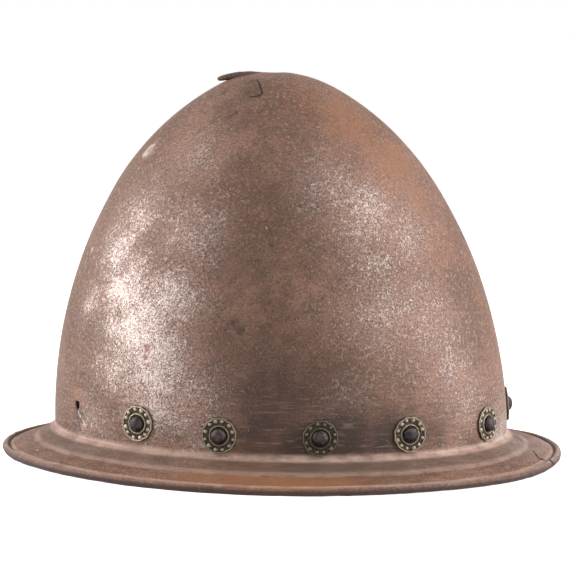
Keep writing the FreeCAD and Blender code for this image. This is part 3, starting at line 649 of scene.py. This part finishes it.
swept = tree_of(points)
nearest = np.array([swept.find(point)[1] for point in bowl_points])
ring_run = np.repeat(np.append(run, [run[-1]] * (EDGE_STEPS - 1)), COLUMNS)
inner_run = np.repeat(run, COLUMNS)
store(bowl, "run", np.concatenate((ring_run, inner_run, run[:1], run[:1]))[nearest])
store(bowl, "inner", np.concatenate((0 * ring_run, 0 * inner_run + 1, [0], [1]))[nearest])
print("layers stored on", len(bowl_points), "points")

# %% [markdown]
# ## Wiring finishes
# A finish here is a formula: noise and painted layers go in, colour and roughness come
# out. One small class stands for the output of a shader node, and its operators add Math
# nodes, so that a mask can be written as arithmetic. Everything else comes from one method
# that makes any node.

# %% Wires and finishes
class Wire:
    """The output of a shader node. Arithmetic on it adds Math nodes."""

    def __init__(self, finish, socket):
        self.finish = finish
        self.socket = socket

    def math(self, operation, first, second):
        return self.finish.node(
            "ShaderNodeMath", {"operation": operation}, {0: first, 1: second}
        )

    def __add__(self, other):
        return self.math("ADD", self, other)

    def __radd__(self, other):
        return self.math("ADD", other, self)

    def __sub__(self, other):
        return self.math("SUBTRACT", self, other)

    def __rsub__(self, other):
        return self.math("SUBTRACT", other, self)

    def __mul__(self, other):
        return self.math("MULTIPLY", self, other)

    def __rmul__(self, other):
        return self.math("MULTIPLY", other, self)


class Finish:
    """A material, or a world, whose colours and masks are written as expressions."""

    def __init__(self, name, kind=bpy.data.materials, shader="Principled BSDF"):
        self.made = kind.new(name)
        self.made.use_nodes = True
        self.tree = self.made.node_tree
        self.shader = self.tree.nodes[shader]
        self.place = self.node("ShaderNodeTexCoord", output="Object")

    def node(self, kind, settings=None, inputs=None, output=0):
        """Makes any node: first its settings, then the values or links of its sockets."""
        made = self.tree.nodes.new(kind)
        for name, value in (settings or {}).items():
            setattr(made, name, value)
        for socket, value in (inputs or {}).items():
            self.connect(made.inputs[socket], value)
        return Wire(self, made.outputs[output])

    def connect(self, socket, value):
        if isinstance(value, Wire):
            self.tree.links.new(value.socket, socket)
        else:
            socket.default_value = value

    def grain(self, length, detail=4.0, rough=0.6, seed=0, stretch=(1, 1, 1)):
        """Noise from 0 to 1 with features of about this length in mm."""
        placed = self.node("ShaderNodeVectorMath", {"operation": "MULTIPLY_ADD"}, {
            0: self.place, 1: stretch, 2: (seed * 1.7, seed * 0.9, seed * 2.3)})
        return self.node("ShaderNodeTexNoise", inputs={
            "Vector": placed, "Scale": 1 / (length * MM), "Detail": detail,
            "Roughness": rough})

    def cells(self, length, seed=0, feature="F1"):
        """Distance to the nearest of scattered points, about this length apart in mm."""
        placed = self.node("ShaderNodeVectorMath", {"operation": "ADD"}, {
            0: self.place, 1: (seed * 1.1, seed * 2.9, seed * 0.7)})
        return self.node("ShaderNodeTexVoronoi", {"feature": feature}, {
            "Vector": placed, "Scale": 1 / (length * MM)}, output="Distance")

    def step(self, value, low, high, start=0.0, finish=1.0):
        """A smooth rise from start to finish as the value goes from low to high."""
        return self.node("ShaderNodeMapRange", {"interpolation_type": "SMOOTHSTEP"}, {
            "Value": value, "From Min": low, "From Max": high,
            "To Min": start, "To Max": finish}, output="Result")

    def within(self, value, low, high, soft):
        """1 where the value lies between low and high, with soft ends."""
        return self.step(value, low - soft, low) * self.step(value, high + soft, high)

    def painted(self, layer):
        return self.node("ShaderNodeAttribute", {"attribute_name": layer}, output="Fac")

    def blend(self, share, first, second):
        """From the first colour to the second as the share goes from 0 to 1."""
        return self.node("ShaderNodeMix", {"data_type": "RGBA"}, {
            0: share, 6: first, 7: second}, output=2)

    def relief(self, height, distance):
        """A normal from a height between 0 and 1, this many mm deep."""
        return self.node("ShaderNodeBump", inputs={
            "Strength": 1.0, "Distance": distance * MM, "Height": height})

    def shade(self, **values):
        """Sets or links the sockets of the shader, named with low lines for spaces."""
        for name, value in values.items():
            self.connect(self.shader.inputs[name.replace("_", " ")], value)
        print("finish", self.made.name, "has", len(self.tree.nodes), "nodes")
        return self.made


def tone(red, green, blue):
    """A colour given as it looks on the screen, from 0 to 255, as a linear one."""
    linear = [
        part / 12.92 if part <= 0.04045 else ((part + 0.055) / 1.055) ** 2.4
        for part in (red / 255, green / 255, blue / 255)
    ]
    return (*linear, 1.0)


# %% [markdown]
# ## Finish of the iron
# Old cleaned iron is never one colour. Grey-brown and pinkish rust drift over it in broad
# clouds, orange lies where damp stood longest, fine dark pits are everywhere, and where
# hands and cloths have polished it the bare metal comes through in bright specks. The
# colour also holds painted light: a broad painted sheen over the worn places, painted shade
# with the soot, painted highlight lines and painted shade across the bands of the brim and
# under the hem, and painted shade along the cracks.

# %% Iron
WALL_STREAKS = (0.078, 0.030)
ALONG_THE_WALL = (0.11, 0.11, 1.0)


def iron_finish():
    iron = Finish("patinated_iron")
    cloud = iron.grain(55, 3, 0.55, 1)
    mottle = iron.grain(11, 5, 0.62, 2)
    blotch = iron.grain(4.5, 4, 0.6, 3)
    speck = iron.grain(1.7, 4, 0.78, 4)
    fine = iron.grain(0.8, 3, 0.78, 5)
    streak = iron.grain(1.3, 4, 0.62, 6, ALONG_THE_WALL)
    worn = iron.painted("worn")
    run = iron.painted("run")
    brim = iron.step(run, ROOT_RUN - 1.5, ROOT_RUN)
    height = iron.node("ShaderNodeSeparateXYZ", inputs={0: iron.place}, output="Z")
    brushed = iron.step(height, *WALL_STREAKS)

    ground = iron.blend(iron.step(cloud, 0.36, 0.64), tone(112, 81, 66), tone(150, 112, 95))
    ground = iron.blend(iron.step(mottle, 0.42, 0.64, 0.0, 0.6), ground, tone(114, 90, 74))
    # Painted sheen: where the layer of worn places is high the ground turns a broad pale pink, a
    # painted highlight over the real wear.
    ground = iron.blend(0.8 * worn, ground, tone(192, 162, 151))
    soot_and_shade = iron.painted("soot_and_shade")
    pale = iron.step(speck, 0.49, 0.61, 0.0, 0.7) * (1 - 0.8 * soot_and_shade)
    ground = iron.blend(pale, ground, tone(178, 142, 126))
    ground = iron.blend(iron.step(fine, 0.51, 0.38, 0.0, 0.75), ground, tone(70, 46, 37))
    rusty = iron.painted("orange") + 0.7 * blotch - 0.25
    ground = iron.blend(iron.step(rusty, 0.25, 0.9, 0.0, 0.6), ground, tone(162, 112, 82))
    # Soot, together with painted shade down the dark middle of the skull and along the foot of the
    # wall.
    soot_and_shade_mix = soot_and_shade + 0.6 * (mottle - 0.5) + 0.3 * (speck - 0.5)
    ground = iron.blend(iron.step(soot_and_shade_mix, 0.1, 0.95, 0.0, 0.92), ground, tone(54, 40, 33))
    ground = iron.blend(brushed * iron.step(streak, 0.52, 0.70, 0.0, 0.32), ground,
                        tone(178, 150, 134))
    ground = iron.blend(brushed * iron.step(streak, 0.48, 0.34, 0.0, 0.42), ground,
                        tone(70, 50, 42))

    flat_band = iron.within(run, 0.8, GROOVE_RUN - 1.6, 1.2)
    steep_band = iron.within(run, ROOT_RUN + 0.5, -0.6, 0.8)
    uneven = iron.step(mottle + 0.5 * streak, 0.5, 0.95, 0.35, 1.0)
    # Painted highlights along the brim: at the root, at the crease, before the groove and on top
    # of the hem.
    glow = 0.75 * iron.within(run, ROOT_RUN - 1.0, ROOT_RUN + 1.0, 2.6)
    glow = glow + 0.30 * iron.within(run, -2.2, -0.6, 2.2)
    glow = glow + 0.65 * iron.within(run, GROOVE_RUN - 2.0, GROOVE_RUN - 0.9, 0.8)
    glow = glow + 0.50 * iron.within(run, GROOVE_RUN + 1.6, GROOVE_RUN + 2.6, 1.2)
    # Painted shade in the hollow middle of the steep band.
    cove_shade = 0.62 * iron.within(run, 0.70 * ROOT_RUN, 0.42 * ROOT_RUN, 4.0)
    ground = iron.blend(0.5 * steep_band, ground, tone(124, 97, 82))
    ground = iron.blend(cove_shade * (1.2 - uneven), ground, tone(72, 53, 45))
    amber = flat_band * uneven * iron.step(iron.painted("orange"), 0.0, 0.9, 0.2, 1.0)
    ground = iron.blend(amber, ground, tone(152, 102, 68))
    ground = iron.blend(glow * uneven, ground, tone(216, 184, 168))
    # Painted shade in the crease, in the groove and under the hem.
    shade = iron.within(run, -0.4, 0.2, 0.5) * 0.75 * (1 - uneven)
    shade = shade + iron.within(run, GROOVE_RUN - 0.4, GROOVE_RUN + 0.7, 0.5) * 0.9
    shade = shade + iron.step(run, HEM_RUN - 2.2, HEM_RUN + 0.4, 0.0, 0.88)
    ground = iron.blend(shade, ground, tone(58, 38, 36))

    # Bright polished specks of bare metal, more of them where the layer of worn places is high, so
    # they also build the painted highlight.
    grit = 0.55 * speck + 0.45 * fine
    polish = grit + 0.27 * (worn - 0.44) + 0.30 * (mottle - 0.5)
    rubbed = iron.step(polish, 0.45, 0.72, 0.0, 0.85) * (1 - 0.8 * brim)
    metal = iron.blend(iron.step(fine, 0.42, 0.62), tone(180, 160, 152), tone(232, 220, 214))
    surface_tone = iron.blend(rubbed, ground, metal)
    bare = iron.step(iron.painted("bare") + 0.6 * (speck - 0.5), 0.35, 0.7, 0.0, 0.9)
    surface_tone = iron.blend(bare, surface_tone, tone(206, 186, 176))

    spot = iron.step(iron.painted("rust_spot") + 0.8 * (blotch - 0.5), 0.40, 0.60, 0.0, 0.85)
    surface_tone = iron.blend(spot, surface_tone, tone(150, 104, 94))
    stained = iron.painted("stain") + 1.6 * (blotch - 0.5) + 0.9 * (speck - 0.5)
    marked = iron.step(stained, 0.35, 0.95, 0.0, 0.75)
    surface_tone = iron.blend(marked, surface_tone, tone(56, 40, 34))
    pits = iron.step(iron.cells(2.6, 6) + 0.5 * speck, 0.42, 0.30, 0.0, 0.6)
    surface_tone = iron.blend(pits, surface_tone, tone(66, 48, 40))
    inner = iron.painted("inner")
    surface_tone = iron.blend(0.72 * inner, surface_tone, tone(58, 40, 32))
    # Painted shade: the plate is painted nearly black along the cracks, standing in for the dark
    # of the cut.
    crack_shade = iron.step(iron.painted("crack_shade"), 0.15, 0.6)
    surface_tone = iron.blend(crack_shade, surface_tone, tone(22, 14, 12))

    relief = 0.55 * speck + 0.35 * mottle + 0.15 * fine + 0.25 * brushed * streak
    relief = relief - 0.35 * pits - 0.2 * marked
    return iron.shade(
        Base_Color=surface_tone,
        Metallic=iron.step(rubbed, 0.0, 0.85, 0.12, 0.55) * (1 - crack_shade) * (1 - 0.6 * inner),
        Roughness=0.60 - 0.16 * rubbed + 0.16 * (fine - 0.5) + 0.2 * inner,
        Specular_IOR_Level=0.35,
        Normal=iron.relief(relief, 0.34),
    )


bowl.data.materials.clear()
bowl.data.materials.append(iron_finish())
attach(bowl, "root")
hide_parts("bowl")

# %% [markdown]
# ## Stalk
# On the crown the smith left the end of the plate's thick middle standing, drawn back and
# hammered to a blunt beak. It is a loft of flattened rings along a short line, sunk into the
# crown at its root, and its side hangs over a dark gap.

# %% Stalk
STALK = [
    # back from the axis, top, half width, half thickness
    (-10.0, 203.6, 3.0, 1.2), (-14.0, 204.6, 4.6, 2.0), (-19.0, 204.8, 5.0, 2.3),
    (-24.0, 204.6, 4.9, 2.2), (-29.0, 203.9, 4.3, 1.9), (-33.0, 202.9, 3.6, 1.6),
    (-35.6, 202.0, 2.9, 1.35), (-36.8, 201.4, 2.0, 0.9), (-37.2, 201.0, 0.8, 0.35),
]
STALK_COLUMNS = 48
STALK_ROWS = 60
STALK_SQUARE = 0.72
STALK_TOP = 204.95


def fit(values, rows):
    """Values of a short table drawn out smoothly over more rows."""
    stations = np.arange(len(values))
    fine = np.linspace(0, len(values) - 1, rows)
    eased = np.interp(fine, stations, values)
    width = rows // len(values)
    padded = np.pad(eased, width, mode="edge")
    return np.convolve(padded, np.ones(width) / width, mode="same")[width:-width]


def make_stalk():
    back, top, wide, thick = (fit(column, STALK_ROWS) for column in np.array(STALK).T)
    turns = full_turn(STALK_COLUMNS)
    side = powered(np.cos(turns), STALK_SQUARE)
    rise = powered(np.sin(turns), STALK_SQUARE)
    rings = np.stack((
        back[:, None] + 0 * turns,
        wide[:, None] * side,
        (top - thick)[:, None] + thick[:, None] * rise,
    ), axis=-1)
    flat = rings.reshape(-1, 3)
    shift = 0.30 * waves(flat, 3.2, 11) + 0.16 * waves(flat, 1.3, 12)
    middle = np.repeat(np.stack((back, 0 * back, top - thick), axis=-1), STALK_COLUMNS, axis=0)
    out = flat - middle
    out /= np.maximum(np.linalg.norm(out, axis=1, keepdims=True), 0.2)
    flat = flat + out * shift[:, None]
    flat[:, 2] = np.minimum(flat[:, 2], STALK_TOP)
    return make_mesh("crown_stalk", flat, skin(numbered(rings, 0)))


stalk = make_stalk()
# The stalk takes one fixed value of each painted layer, which makes it darker all over and leaves
# it unworn.
STALK_LAYERS = {
    "worn": 0.0, "soot_and_shade": 0.55, "orange": 0.0, "stain": 0.3, "rust_spot": 0.0, "bare": 0.0,
    "crack_shade": 0.0, "inner": 0.0, "run": run[0],
}
for layer, value in STALK_LAYERS.items():
    store(stalk, layer, np.full(len(stalk.data.vertices), value))
stalk.data.materials.append(bowl.data.materials[0])
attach(stalk, "root")
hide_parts("bowl")
print("stalk has", len(stalk.data.polygons), "faces")

# %% [markdown]
# ## Rosettes
# Each rosette is a thin brass disc struck with a punch: a narrow raised rim, twelve hollows
# with a round pearl in each and thin ribs between them, and a ledge under the rivet head.
# The face is one grid of rings whose height is worked out at each point from those forms.
# They were struck and nailed on by hand, so each has its own uneven pearls, wear and dirt.
# Its place comes from the CAD node that it stands for.

# %% Seats of the small parts
def seat_of(node):
    """Middle of a flat part's underside, its outward axis, and the way to one corner."""
    points = points_of(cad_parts[node])
    middle = points.mean(0)
    out = np.linalg.svd(points - middle, full_matrices=False)[2][2]
    if out @ (middle * (1, 1, 0)) < 0:
        out = -out
    height = (points - middle) @ out
    away = points - middle - np.outer(height, out)
    reach = np.linalg.norm(away, axis=1)
    corner = away[reach.argmax()] / reach.max()
    rim = points[reach > 0.92 * reach.max()]
    middle = rim.mean(0) - out * ((rim.mean(0) - middle) @ out) + out * height.min()
    return middle, out, corner, reach.max()


def place_local(points, middle, out, corner):
    """Points given as reach along the corner, aside and out, moved to a part's seat."""
    aside = np.cross(out, corner)
    return middle + np.outer(points[:, 0], corner) + np.outer(points[:, 1], aside) + np.outer(
        points[:, 2], out)


def turned(profile, columns):
    """Rings about an upright axis, from pairs of reach and height."""
    turns = full_turn(columns)
    return np.stack([
        np.column_stack((reach * np.cos(turns), reach * np.sin(turns), height + 0 * turns))
        for reach, height in profile
    ])


ROSETTES = sorted(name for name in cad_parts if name.startswith("rosette"))
seats = {name: seat_of(name) for name in ROSETTES}
print(len(seats), "rosettes, radius", round(seats[ROSETTES[0]][3], 2), "mm")

# %% Rosette meshes
PETALS = 12
PITCH = 2 * np.pi / PETALS
ROSETTE_COLUMNS = 216
RIM = [(9.30, 0.0), (9.42, 0.2), (9.44, 0.6), (9.38, 0.95), (9.24, 1.18), (9.06, 1.30),
       (8.86, 1.31), (8.68, 1.22), (8.52, 1.02)]
LEDGE = [(5.30, 1.12), (5.12, 1.28), (4.92, 1.33), (4.72, 1.26), (4.55, 1.00),
         (4.38, 0.70), (4.15, 0.62), (3.2, 0.62), (1.85, 0.62), (1.8, 0.3), (1.8, 0.0)]
FIELD = np.arange(8.38, 5.38, -0.13)
FIELD_FLOOR = 0.42
PEARL_RING = 7.40
PEARL_RADIUS = 1.42
RIB_HALF = 0.24
RIB_RISE = 0.45
SCALLOP = 0.045
ROSETTE_TOP = 1.9
BENT_TO = 250.0
TARNISH = {9: 0.0, 10: 0.5, 11: 0.9, 12: 0.4, 13: 0.25}


def struck_pearls(chance):
    """Turn, reach, radius and height of each pearl of one rosette."""
    centres = PITCH * (np.arange(PETALS) + 0.5) + np.radians(chance.uniform(-4.0, 4.0, PETALS))
    sizes = PEARL_RADIUS * chance.uniform(0.86, 1.08, PETALS)
    out = PEARL_RING + chance.uniform(-0.18, 0.18, PETALS)
    return list(zip(centres, out, sizes, 0.95 + 0.35 * chance.uniform(0.6, 1.0, PETALS)))


def face_height(reach, turns, pearls):
    """Height of the field between rim and ledge: hollow floor, ribs and pearls."""
    x, y = reach * np.cos(turns), reach * np.sin(turns)
    share = (FIELD[0] - reach) / (FIELD[0] - FIELD[-1])
    height = FIELD_FLOOR + 0.40 * (2 * share - 1) ** 4 + 0 * turns
    from_rib = (turns + PITCH / 2) % PITCH - PITCH / 2
    ribs = RIB_RISE * np.exp(-(reach * from_rib / RIB_HALF) ** 2)
    height = np.maximum(height, FIELD_FLOOR + ribs)
    for centre, out, size, rise in pearls:
        away = np.hypot(x - out * np.cos(centre), y - out * np.sin(centre))
        dome = np.sqrt(np.clip(1 - (away / size) ** 2, 0, 1))
        height = np.maximum(height, FIELD_FLOOR - 0.1 + dome * rise)
    return height


def make_rosette(name):
    middle, out, corner, _ = seats[name]
    number = int(name[-2:])
    own = np.random.default_rng(100 + number)
    turns = full_turn(ROSETTE_COLUMNS)
    straight = np.cos(PITCH / 2) / np.cos(turns % PITCH - PITCH / 2)
    petal_side = 0.5 + 0.5 * np.cos(PETALS * turns)
    outline = (0.6 + 0.4 * straight) * (1 - SCALLOP * petal_side)
    wear = 0.20 * waves(turned([(5, 0)], ROSETTE_COLUMNS)[0], 3, number)
    rows = []
    for reach, height in RIM:
        top = np.clip((height - 0.9) / 0.8, 0, 1)
        rows.append((reach * outline, height + wear * 2 * top))
    pearls = struck_pearls(np.random.default_rng(own.integers(1000)))
    for reach in FIELD:
        rows.append((reach * (0.7 + 0.3 * outline), face_height(reach, turns, pearls)))
    for reach, height in LEDGE:
        rows.append((reach + 0 * turns, height + wear))
    rows[-1] = (rows[-1][0], 0 * turns)
    grid = turned(rows, ROSETTE_COLUMNS)
    flat = grid.reshape(-1, 3)
    high = np.clip((flat[:, 2] - 0.50) / 0.95, 0, 1)
    lumps = 0.13 * waves(flat, 1.1, number + 20) + 0.10 * waves(flat, 3.0, number + 40)
    flat = flat + np.column_stack((0 * lumps, 0 * lumps, lumps * (flat[:, 2] > 0.2)))
    flat[:, 2] = np.minimum(flat[:, 2], ROSETTE_TOP)
    placed = place_local(flat, middle, out, corner)
    level = np.cross((0, 0, 1), out)
    level /= np.linalg.norm(level)
    aside = (placed - middle) @ level
    placed -= np.outer(aside ** 2 / BENT_TO, out)
    piece = make_mesh("rosette_detail_%02d" % number, placed, skin(numbered(grid, 0), True))
    store(piece, "high", high)
    store(piece, "tarnish", np.full(len(high), TARNISH.get(number, own.uniform(0.3, 0.7))))
    return piece


# %% [markdown]
# The brass has gone a dull olive brown. Dirt and verdigris fill the hollows, so the painted
# height drives the colour: nearly black in the hollows, then brown, then a worn pale gold on
# the ridges and on the ledge. This colour by height also paints the shade in the hollows
# and a painted highlight on the ridges.

# %% Brass
def brass_finish():
    brass = Finish("aged_brass")
    high = brass.painted("high")
    tarnish = brass.painted("tarnish")
    blotch = brass.grain(3.0, 4, 0.65, 8)
    fine = brass.grain(0.6, 3, 0.7, 9)
    lift = high + 0.5 * (blotch - 0.5) + 0.3 * (fine - 0.5)
    bright = brass.blend(tarnish, tone(176, 162, 142), tone(84, 73, 54))
    middle = brass.blend(tarnish, tone(122, 108, 90), tone(52, 44, 32))
    # Colour by height: painted shade in the hollows and a painted highlight on the ridges,
    # together with the dirt and wear.
    colour = brass.blend(brass.step(lift, 0.05, 0.45), tone(50, 40, 29), middle)
    colour = brass.blend(brass.step(lift, 0.45, 1.0), colour, bright)
    colour = brass.blend(brass.step(blotch, 0.55, 0.70, 0.0, 0.5), colour, tone(98, 92, 66))
    return brass.shade(
        Base_Color=colour,
        Metallic=brass.step(lift, 0.1, 0.9, 0.25, 0.7),
        Roughness=0.60 - 0.18 * high,
        Normal=brass.relief(fine + 0.6 * blotch, 0.12),
    )


brass = brass_finish()
for name in ROSETTES:
    rosette = make_rosette(name)
    rosette.data.materials.append(brass)
    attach(rosette, "root")
    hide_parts(name)
print("rosettes made")

# %% [markdown]
# ## Rivets and washers
# The rivets are turned forms with hammered, slightly lopsided heads. Inside the helmet each
# shank is spread over a square washer with its corners clipped. Each rivet stands on the
# axis of its rosette.

# %% Rivets
RIVET = [(0.0, -6.05), (1.3, -6.0), (2.2, -5.72), (2.7, -5.3), (2.72, -5.02), (2.4, -4.96),
         (1.6, -4.96), (1.6, 0.6), (2.6, 1.05), (3.7, 1.1), (4.0, 1.22), (4.1, 1.45), (4.05, 1.8),
         (3.8, 2.4), (3.4, 2.95), (2.9, 3.4), (2.3, 3.8), (1.6, 4.05), (0.8, 4.18), (0.0, 4.2)]
RIVET_COLUMNS = 56
HEAD_RADIUS = 4.0


def make_rivet(name):
    middle, out, corner, _ = seats[name]
    number = int(name[-2:])
    own = np.random.default_rng(300 + number)
    dense = []
    for (r0, z0), (r1, z1) in zip(RIVET, RIVET[1:]):
        for share in np.linspace(0, 1, 3, endpoint=False):
            dense.append((max(r0 + (r1 - r0) * share, 0.02), z0 + (z1 - z0) * share))
    grid = turned(dense, RIVET_COLUMNS)
    flat = grid.reshape(-1, 3)
    head = (flat[:, 2] > 0.9) | (flat[:, 2] < -4.9)
    lean = own.uniform(-0.28, 0.28, 2)
    lumps = 0.22 * waves(flat, 2.6, number + 60) + 0.08 * waves(flat, 0.9, number + 80)
    flat = flat * (1 + (lumps * head / HEAD_RADIUS)[:, None] * (1, 1, 0.3))
    flat[:, :2] += lean * head[:, None]
    placed = place_local(flat, middle, out, corner)
    return make_mesh("rivet_detail_%02d" % number, placed, skin(numbered(grid, 0)))


def rivet_finish():
    iron = Finish("rivet_iron")
    blotch = iron.grain(2.2, 4, 0.65, 12)
    fine = iron.grain(0.5, 3, 0.7, 13)
    colour = iron.blend(iron.step(blotch, 0.38, 0.62), tone(38, 32, 33), tone(70, 59, 59))
    colour = iron.blend(iron.step(fine, 0.55, 0.75, 0.0, 0.4), colour, tone(128, 108, 104))
    return iron.shade(
        Base_Color=colour,
        Metallic=0.75,
        Roughness=0.40 + 0.25 * (blotch - 0.5),
        Normal=iron.relief(fine + blotch, 0.12),
    )


rivet_iron = rivet_finish()
for name in ROSETTES:
    rivet = make_rivet(name)
    rivet.data.materials.append(rivet_iron)
    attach(rivet, "root")
    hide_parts("rivets")
print("rivets made")

# %% Washers
WASHER_COLUMNS = 96
WASHER_HALF = 5.0
WASHER_CORNER = 1.6
WASHER_THICK = 0.9
WASHER_BORE = 1.75
# share of the way out from bore to edge, height
WASHER_STEPS = [
    (0.0, 0.03), (0.0, WASHER_THICK - 0.03), (0.02, WASHER_THICK), (0.5, WASHER_THICK),
    (0.94, WASHER_THICK), (0.985, 0.8), (1.0, 0.62), (1.0, 0.25), (0.98, 0.08), (0.94, 0.0),
    (0.5, 0.0), (0.02, 0.0),
]


def make_washer(name):
    middle, out, corner, _ = seat_of(name)
    number = int(name[-2:])
    turns = full_turn(WASHER_COLUMNS)
    angle = turns + math.atan2(WASHER_HALF - WASHER_CORNER, WASHER_HALF)
    cosine, sine = np.abs(np.cos(angle)), np.abs(np.sin(angle))
    clipped = (2 * WASHER_HALF - WASHER_CORNER) / (cosine + sine)
    outline = np.minimum(WASHER_HALF / np.maximum(cosine, sine), clipped)
    grid = turned([
        (WASHER_BORE + (outline - WASHER_BORE) * share, height) for share, height in WASHER_STEPS
    ], WASHER_COLUMNS)
    flat = grid.reshape(-1, 3)
    flat = flat + 0.10 * waves(flat, 2.5, number + 120)[:, None] * (1, 1, 0.4)
    placed = place_local(flat, middle, out, corner)
    return make_mesh("washer_detail_%02d" % number, placed, skin(numbered(grid, 0), True))


def rusted_finish():
    iron = Finish("washer_iron")
    blotch = iron.grain(2.5, 5, 0.65, 15)
    fine = iron.grain(0.5, 3, 0.7, 16)
    colour = iron.blend(iron.step(blotch, 0.36, 0.64), tone(70, 48, 38), tone(126, 84, 60))
    colour = iron.blend(iron.step(fine, 0.55, 0.72, 0.0, 0.5), colour, tone(140, 120, 108))
    return iron.shade(
        Base_Color=colour,
        Metallic=0.35,
        Roughness=0.7 + 0.25 * (fine - 0.5),
        Normal=iron.relief(fine + blotch, 0.2),
    )


washer_iron = rusted_finish()
for name in sorted(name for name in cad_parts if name.startswith("washer")):
    washer = make_washer(name)
    washer.data.materials.append(washer_iron)
    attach(washer, "root")
    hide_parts(name)
print("washers made")

# %% [markdown]
# ## Leather band
# The lining was sewn to a strip of leather that the rivets hold. It has dried and its edges
# wave a little, and its face is cracked.

# %% Leather band
BAND_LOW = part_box("lining_band")[0].z / MM
BAND_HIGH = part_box("lining_band")[1].z / MM
BAND_BACK = 1.7
BAND_THICK = 1.7
BAND_COLUMNS = 480
BAND_ROWS = 22
BAND_ROUND = 0.7
BAND_INSET = 0.5
BAND_WAVE = 0.45


def wall_reach_at(height):
    return WALL[0][0] + np.sqrt(WALL[1] ** 2 - (height - WALL[0][1]) ** 2)


def band_rings(heights, inset):
    turns = full_turn(BAND_COLUMNS)
    ratio = (wall_reach * RATIO - inset) / (wall_reach - inset)
    reach = wall_reach_at(heights) - inset
    return np.stack((
        reach * np.cos(turns) - LEAN * heights, ratio * reach * np.sin(turns), heights + 0 * turns,
    ), axis=-1)


turns = full_turn(BAND_COLUMNS)
round_the_band = np.column_stack((90 * np.cos(turns), 70 * np.sin(turns), 0 * turns))
low_edge = BAND_LOW + BAND_INSET + BAND_WAVE * waves(round_the_band, 13.0, 31)
high_edge = BAND_HIGH - BAND_INSET + BAND_WAVE * waves(round_the_band, 11.0, 32)
levels = np.linspace(0, 1, BAND_ROWS)[:, None]
heights = low_edge + (high_edge - low_edge) * levels
from_edge = np.minimum(heights - low_edge, high_edge - heights)
rounded = BAND_ROUND * (1 - np.sqrt(1 - (1 - np.clip(from_edge / BAND_ROUND, 0, 1)) ** 2))
front = band_rings(heights, BAND_BACK + 0.1 + rounded)
ripple = 0.35 * waves(front.reshape(-1, 3), 16.0, 33).reshape(BAND_ROWS, BAND_COLUMNS)
thick = BAND_THICK - rounded - 0.25 + np.maximum(ripple, -0.1) * 0.5
back = band_rings(heights, BAND_BACK + thick)
grid = np.concatenate((front, back[::-1]))
band = make_mesh("lining_leather", grid.reshape(-1, 3), skin(numbered(grid, 0), True))


def leather_finish():
    leather = Finish("leather")
    cloud = leather.grain(14, 4, 0.6, 18)
    fine = leather.grain(0.9, 4, 0.7, 19)
    cracks = leather.step(leather.cells(2.2, 20, "DISTANCE_TO_EDGE"), 0.0, 0.10)
    colour = leather.blend(leather.step(cloud, 0.35, 0.65), tone(58, 36, 24), tone(96, 64, 42))
    colour = leather.blend(leather.step(fine, 0.52, 0.72, 0.0, 0.5), colour, tone(134, 98, 68))
    colour = leather.blend(cracks, tone(34, 22, 15), colour)
    return leather.shade(
        Base_Color=colour,
        Roughness=0.72 - 0.2 * (cloud - 0.5),
        Normal=leather.relief(0.6 * cracks + 0.5 * fine, 0.25),
    )


band.data.materials.append(leather_finish())
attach(band, "root")
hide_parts("lining_band")
print("leather band has", len(band.data.polygons), "faces")

# %% [markdown]
# ## Floor, backdrop and light
# The photograph is a plain studio picture on white. The floor and the world show as white
# to the camera and to reflections, and still take the helmet's shadow and light it gently.
# A large soft lamp on the left gives the broad worn highlight, another on the right lights
# the other edge, a small one high on the right adds the second highlight, and between them
# the middle of the skull stays dark. A painted sheen and painted shade in the colour of the
# iron add to these highlights and to the dark middle.

# %% Floor and world
FLOOR_HALF = 6.0
FLOOR_GLOW = 0.86
WORLD_LIGHT = 0.13


def white_to_camera(finish):
    """1 for rays of the camera, reflections and transmission, else 0."""
    paths = [
        finish.node("ShaderNodeLightPath", output=kind)
        for kind in ("Is Camera Ray", "Is Glossy Ray", "Is Transmission Ray")
    ]
    return finish.node("ShaderNodeClamp", inputs={"Value": paths[0] + paths[1] + paths[2]})


def grey(amount):
    return (amount, amount, amount, 1.0)


pale = Finish("floor")
glow = pale.blend(white_to_camera(pale), grey(0.0), grey(FLOOR_GLOW))
floor = make_mesh("floor", [
    (x * FLOOR_HALF / MM, y * FLOOR_HALF / MM, 0) for x, y in ((-1, -1), (1, -1), (1, 1), (-1, 1))
], [(0, 1, 2, 3)])
floor.data.materials.append(pale.shade(
    Base_Color=tone(232, 232, 232), Roughness=0.9, Specular_IOR_Level=0.2,
    Emission_Color=glow, Emission_Strength=1.0,
))

studio = Finish("studio", bpy.data.worlds, "Background")
bpy.context.scene.world = studio.shade(
    Color=studio.blend(white_to_camera(studio), grey(WORLD_LIGHT), grey(1.0)), Strength=1.0,
)

# %% Lamps
LAMP_DISTANCE = 1.1
LAMPS = [
    # name, turn from the front, rise, width, height, watts
    ("left_lamp", -84, 22, 0.8, 1.0, 11.5),
    ("right_high_lamp", 44, 58, 0.4, 0.5, 2.4),
    ("right_lamp", 84, 20, 0.8, 1.0, 11.5),
]


def softbox(name, turn, rise, width, height, watts):
    """A soft rectangular lamp, aimed at the middle of the helmet."""
    lamp_data = bpy.data.lights.new(name, "AREA")
    lamp_data.shape = "RECTANGLE"
    lamp_data.size = width
    lamp_data.size_y = height
    lamp_data.energy = watts
    lamp = bpy.data.objects.new(name, lamp_data)
    bpy.context.scene.collection.objects.link(lamp)
    turn, rise = math.radians(turn), math.radians(rise)
    away = Vector((math.sin(turn) * math.cos(rise), -math.cos(turn) * math.cos(rise),
                   math.sin(rise)))
    lamp.matrix_world = Matrix.Translation(AIM + LAMP_DISTANCE * away) @ (
        away.to_track_quat("Z", "Y").to_matrix().to_4x4())


for lamp in LAMPS:
    softbox(*lamp)
print(len(LAMPS), "lamps made")
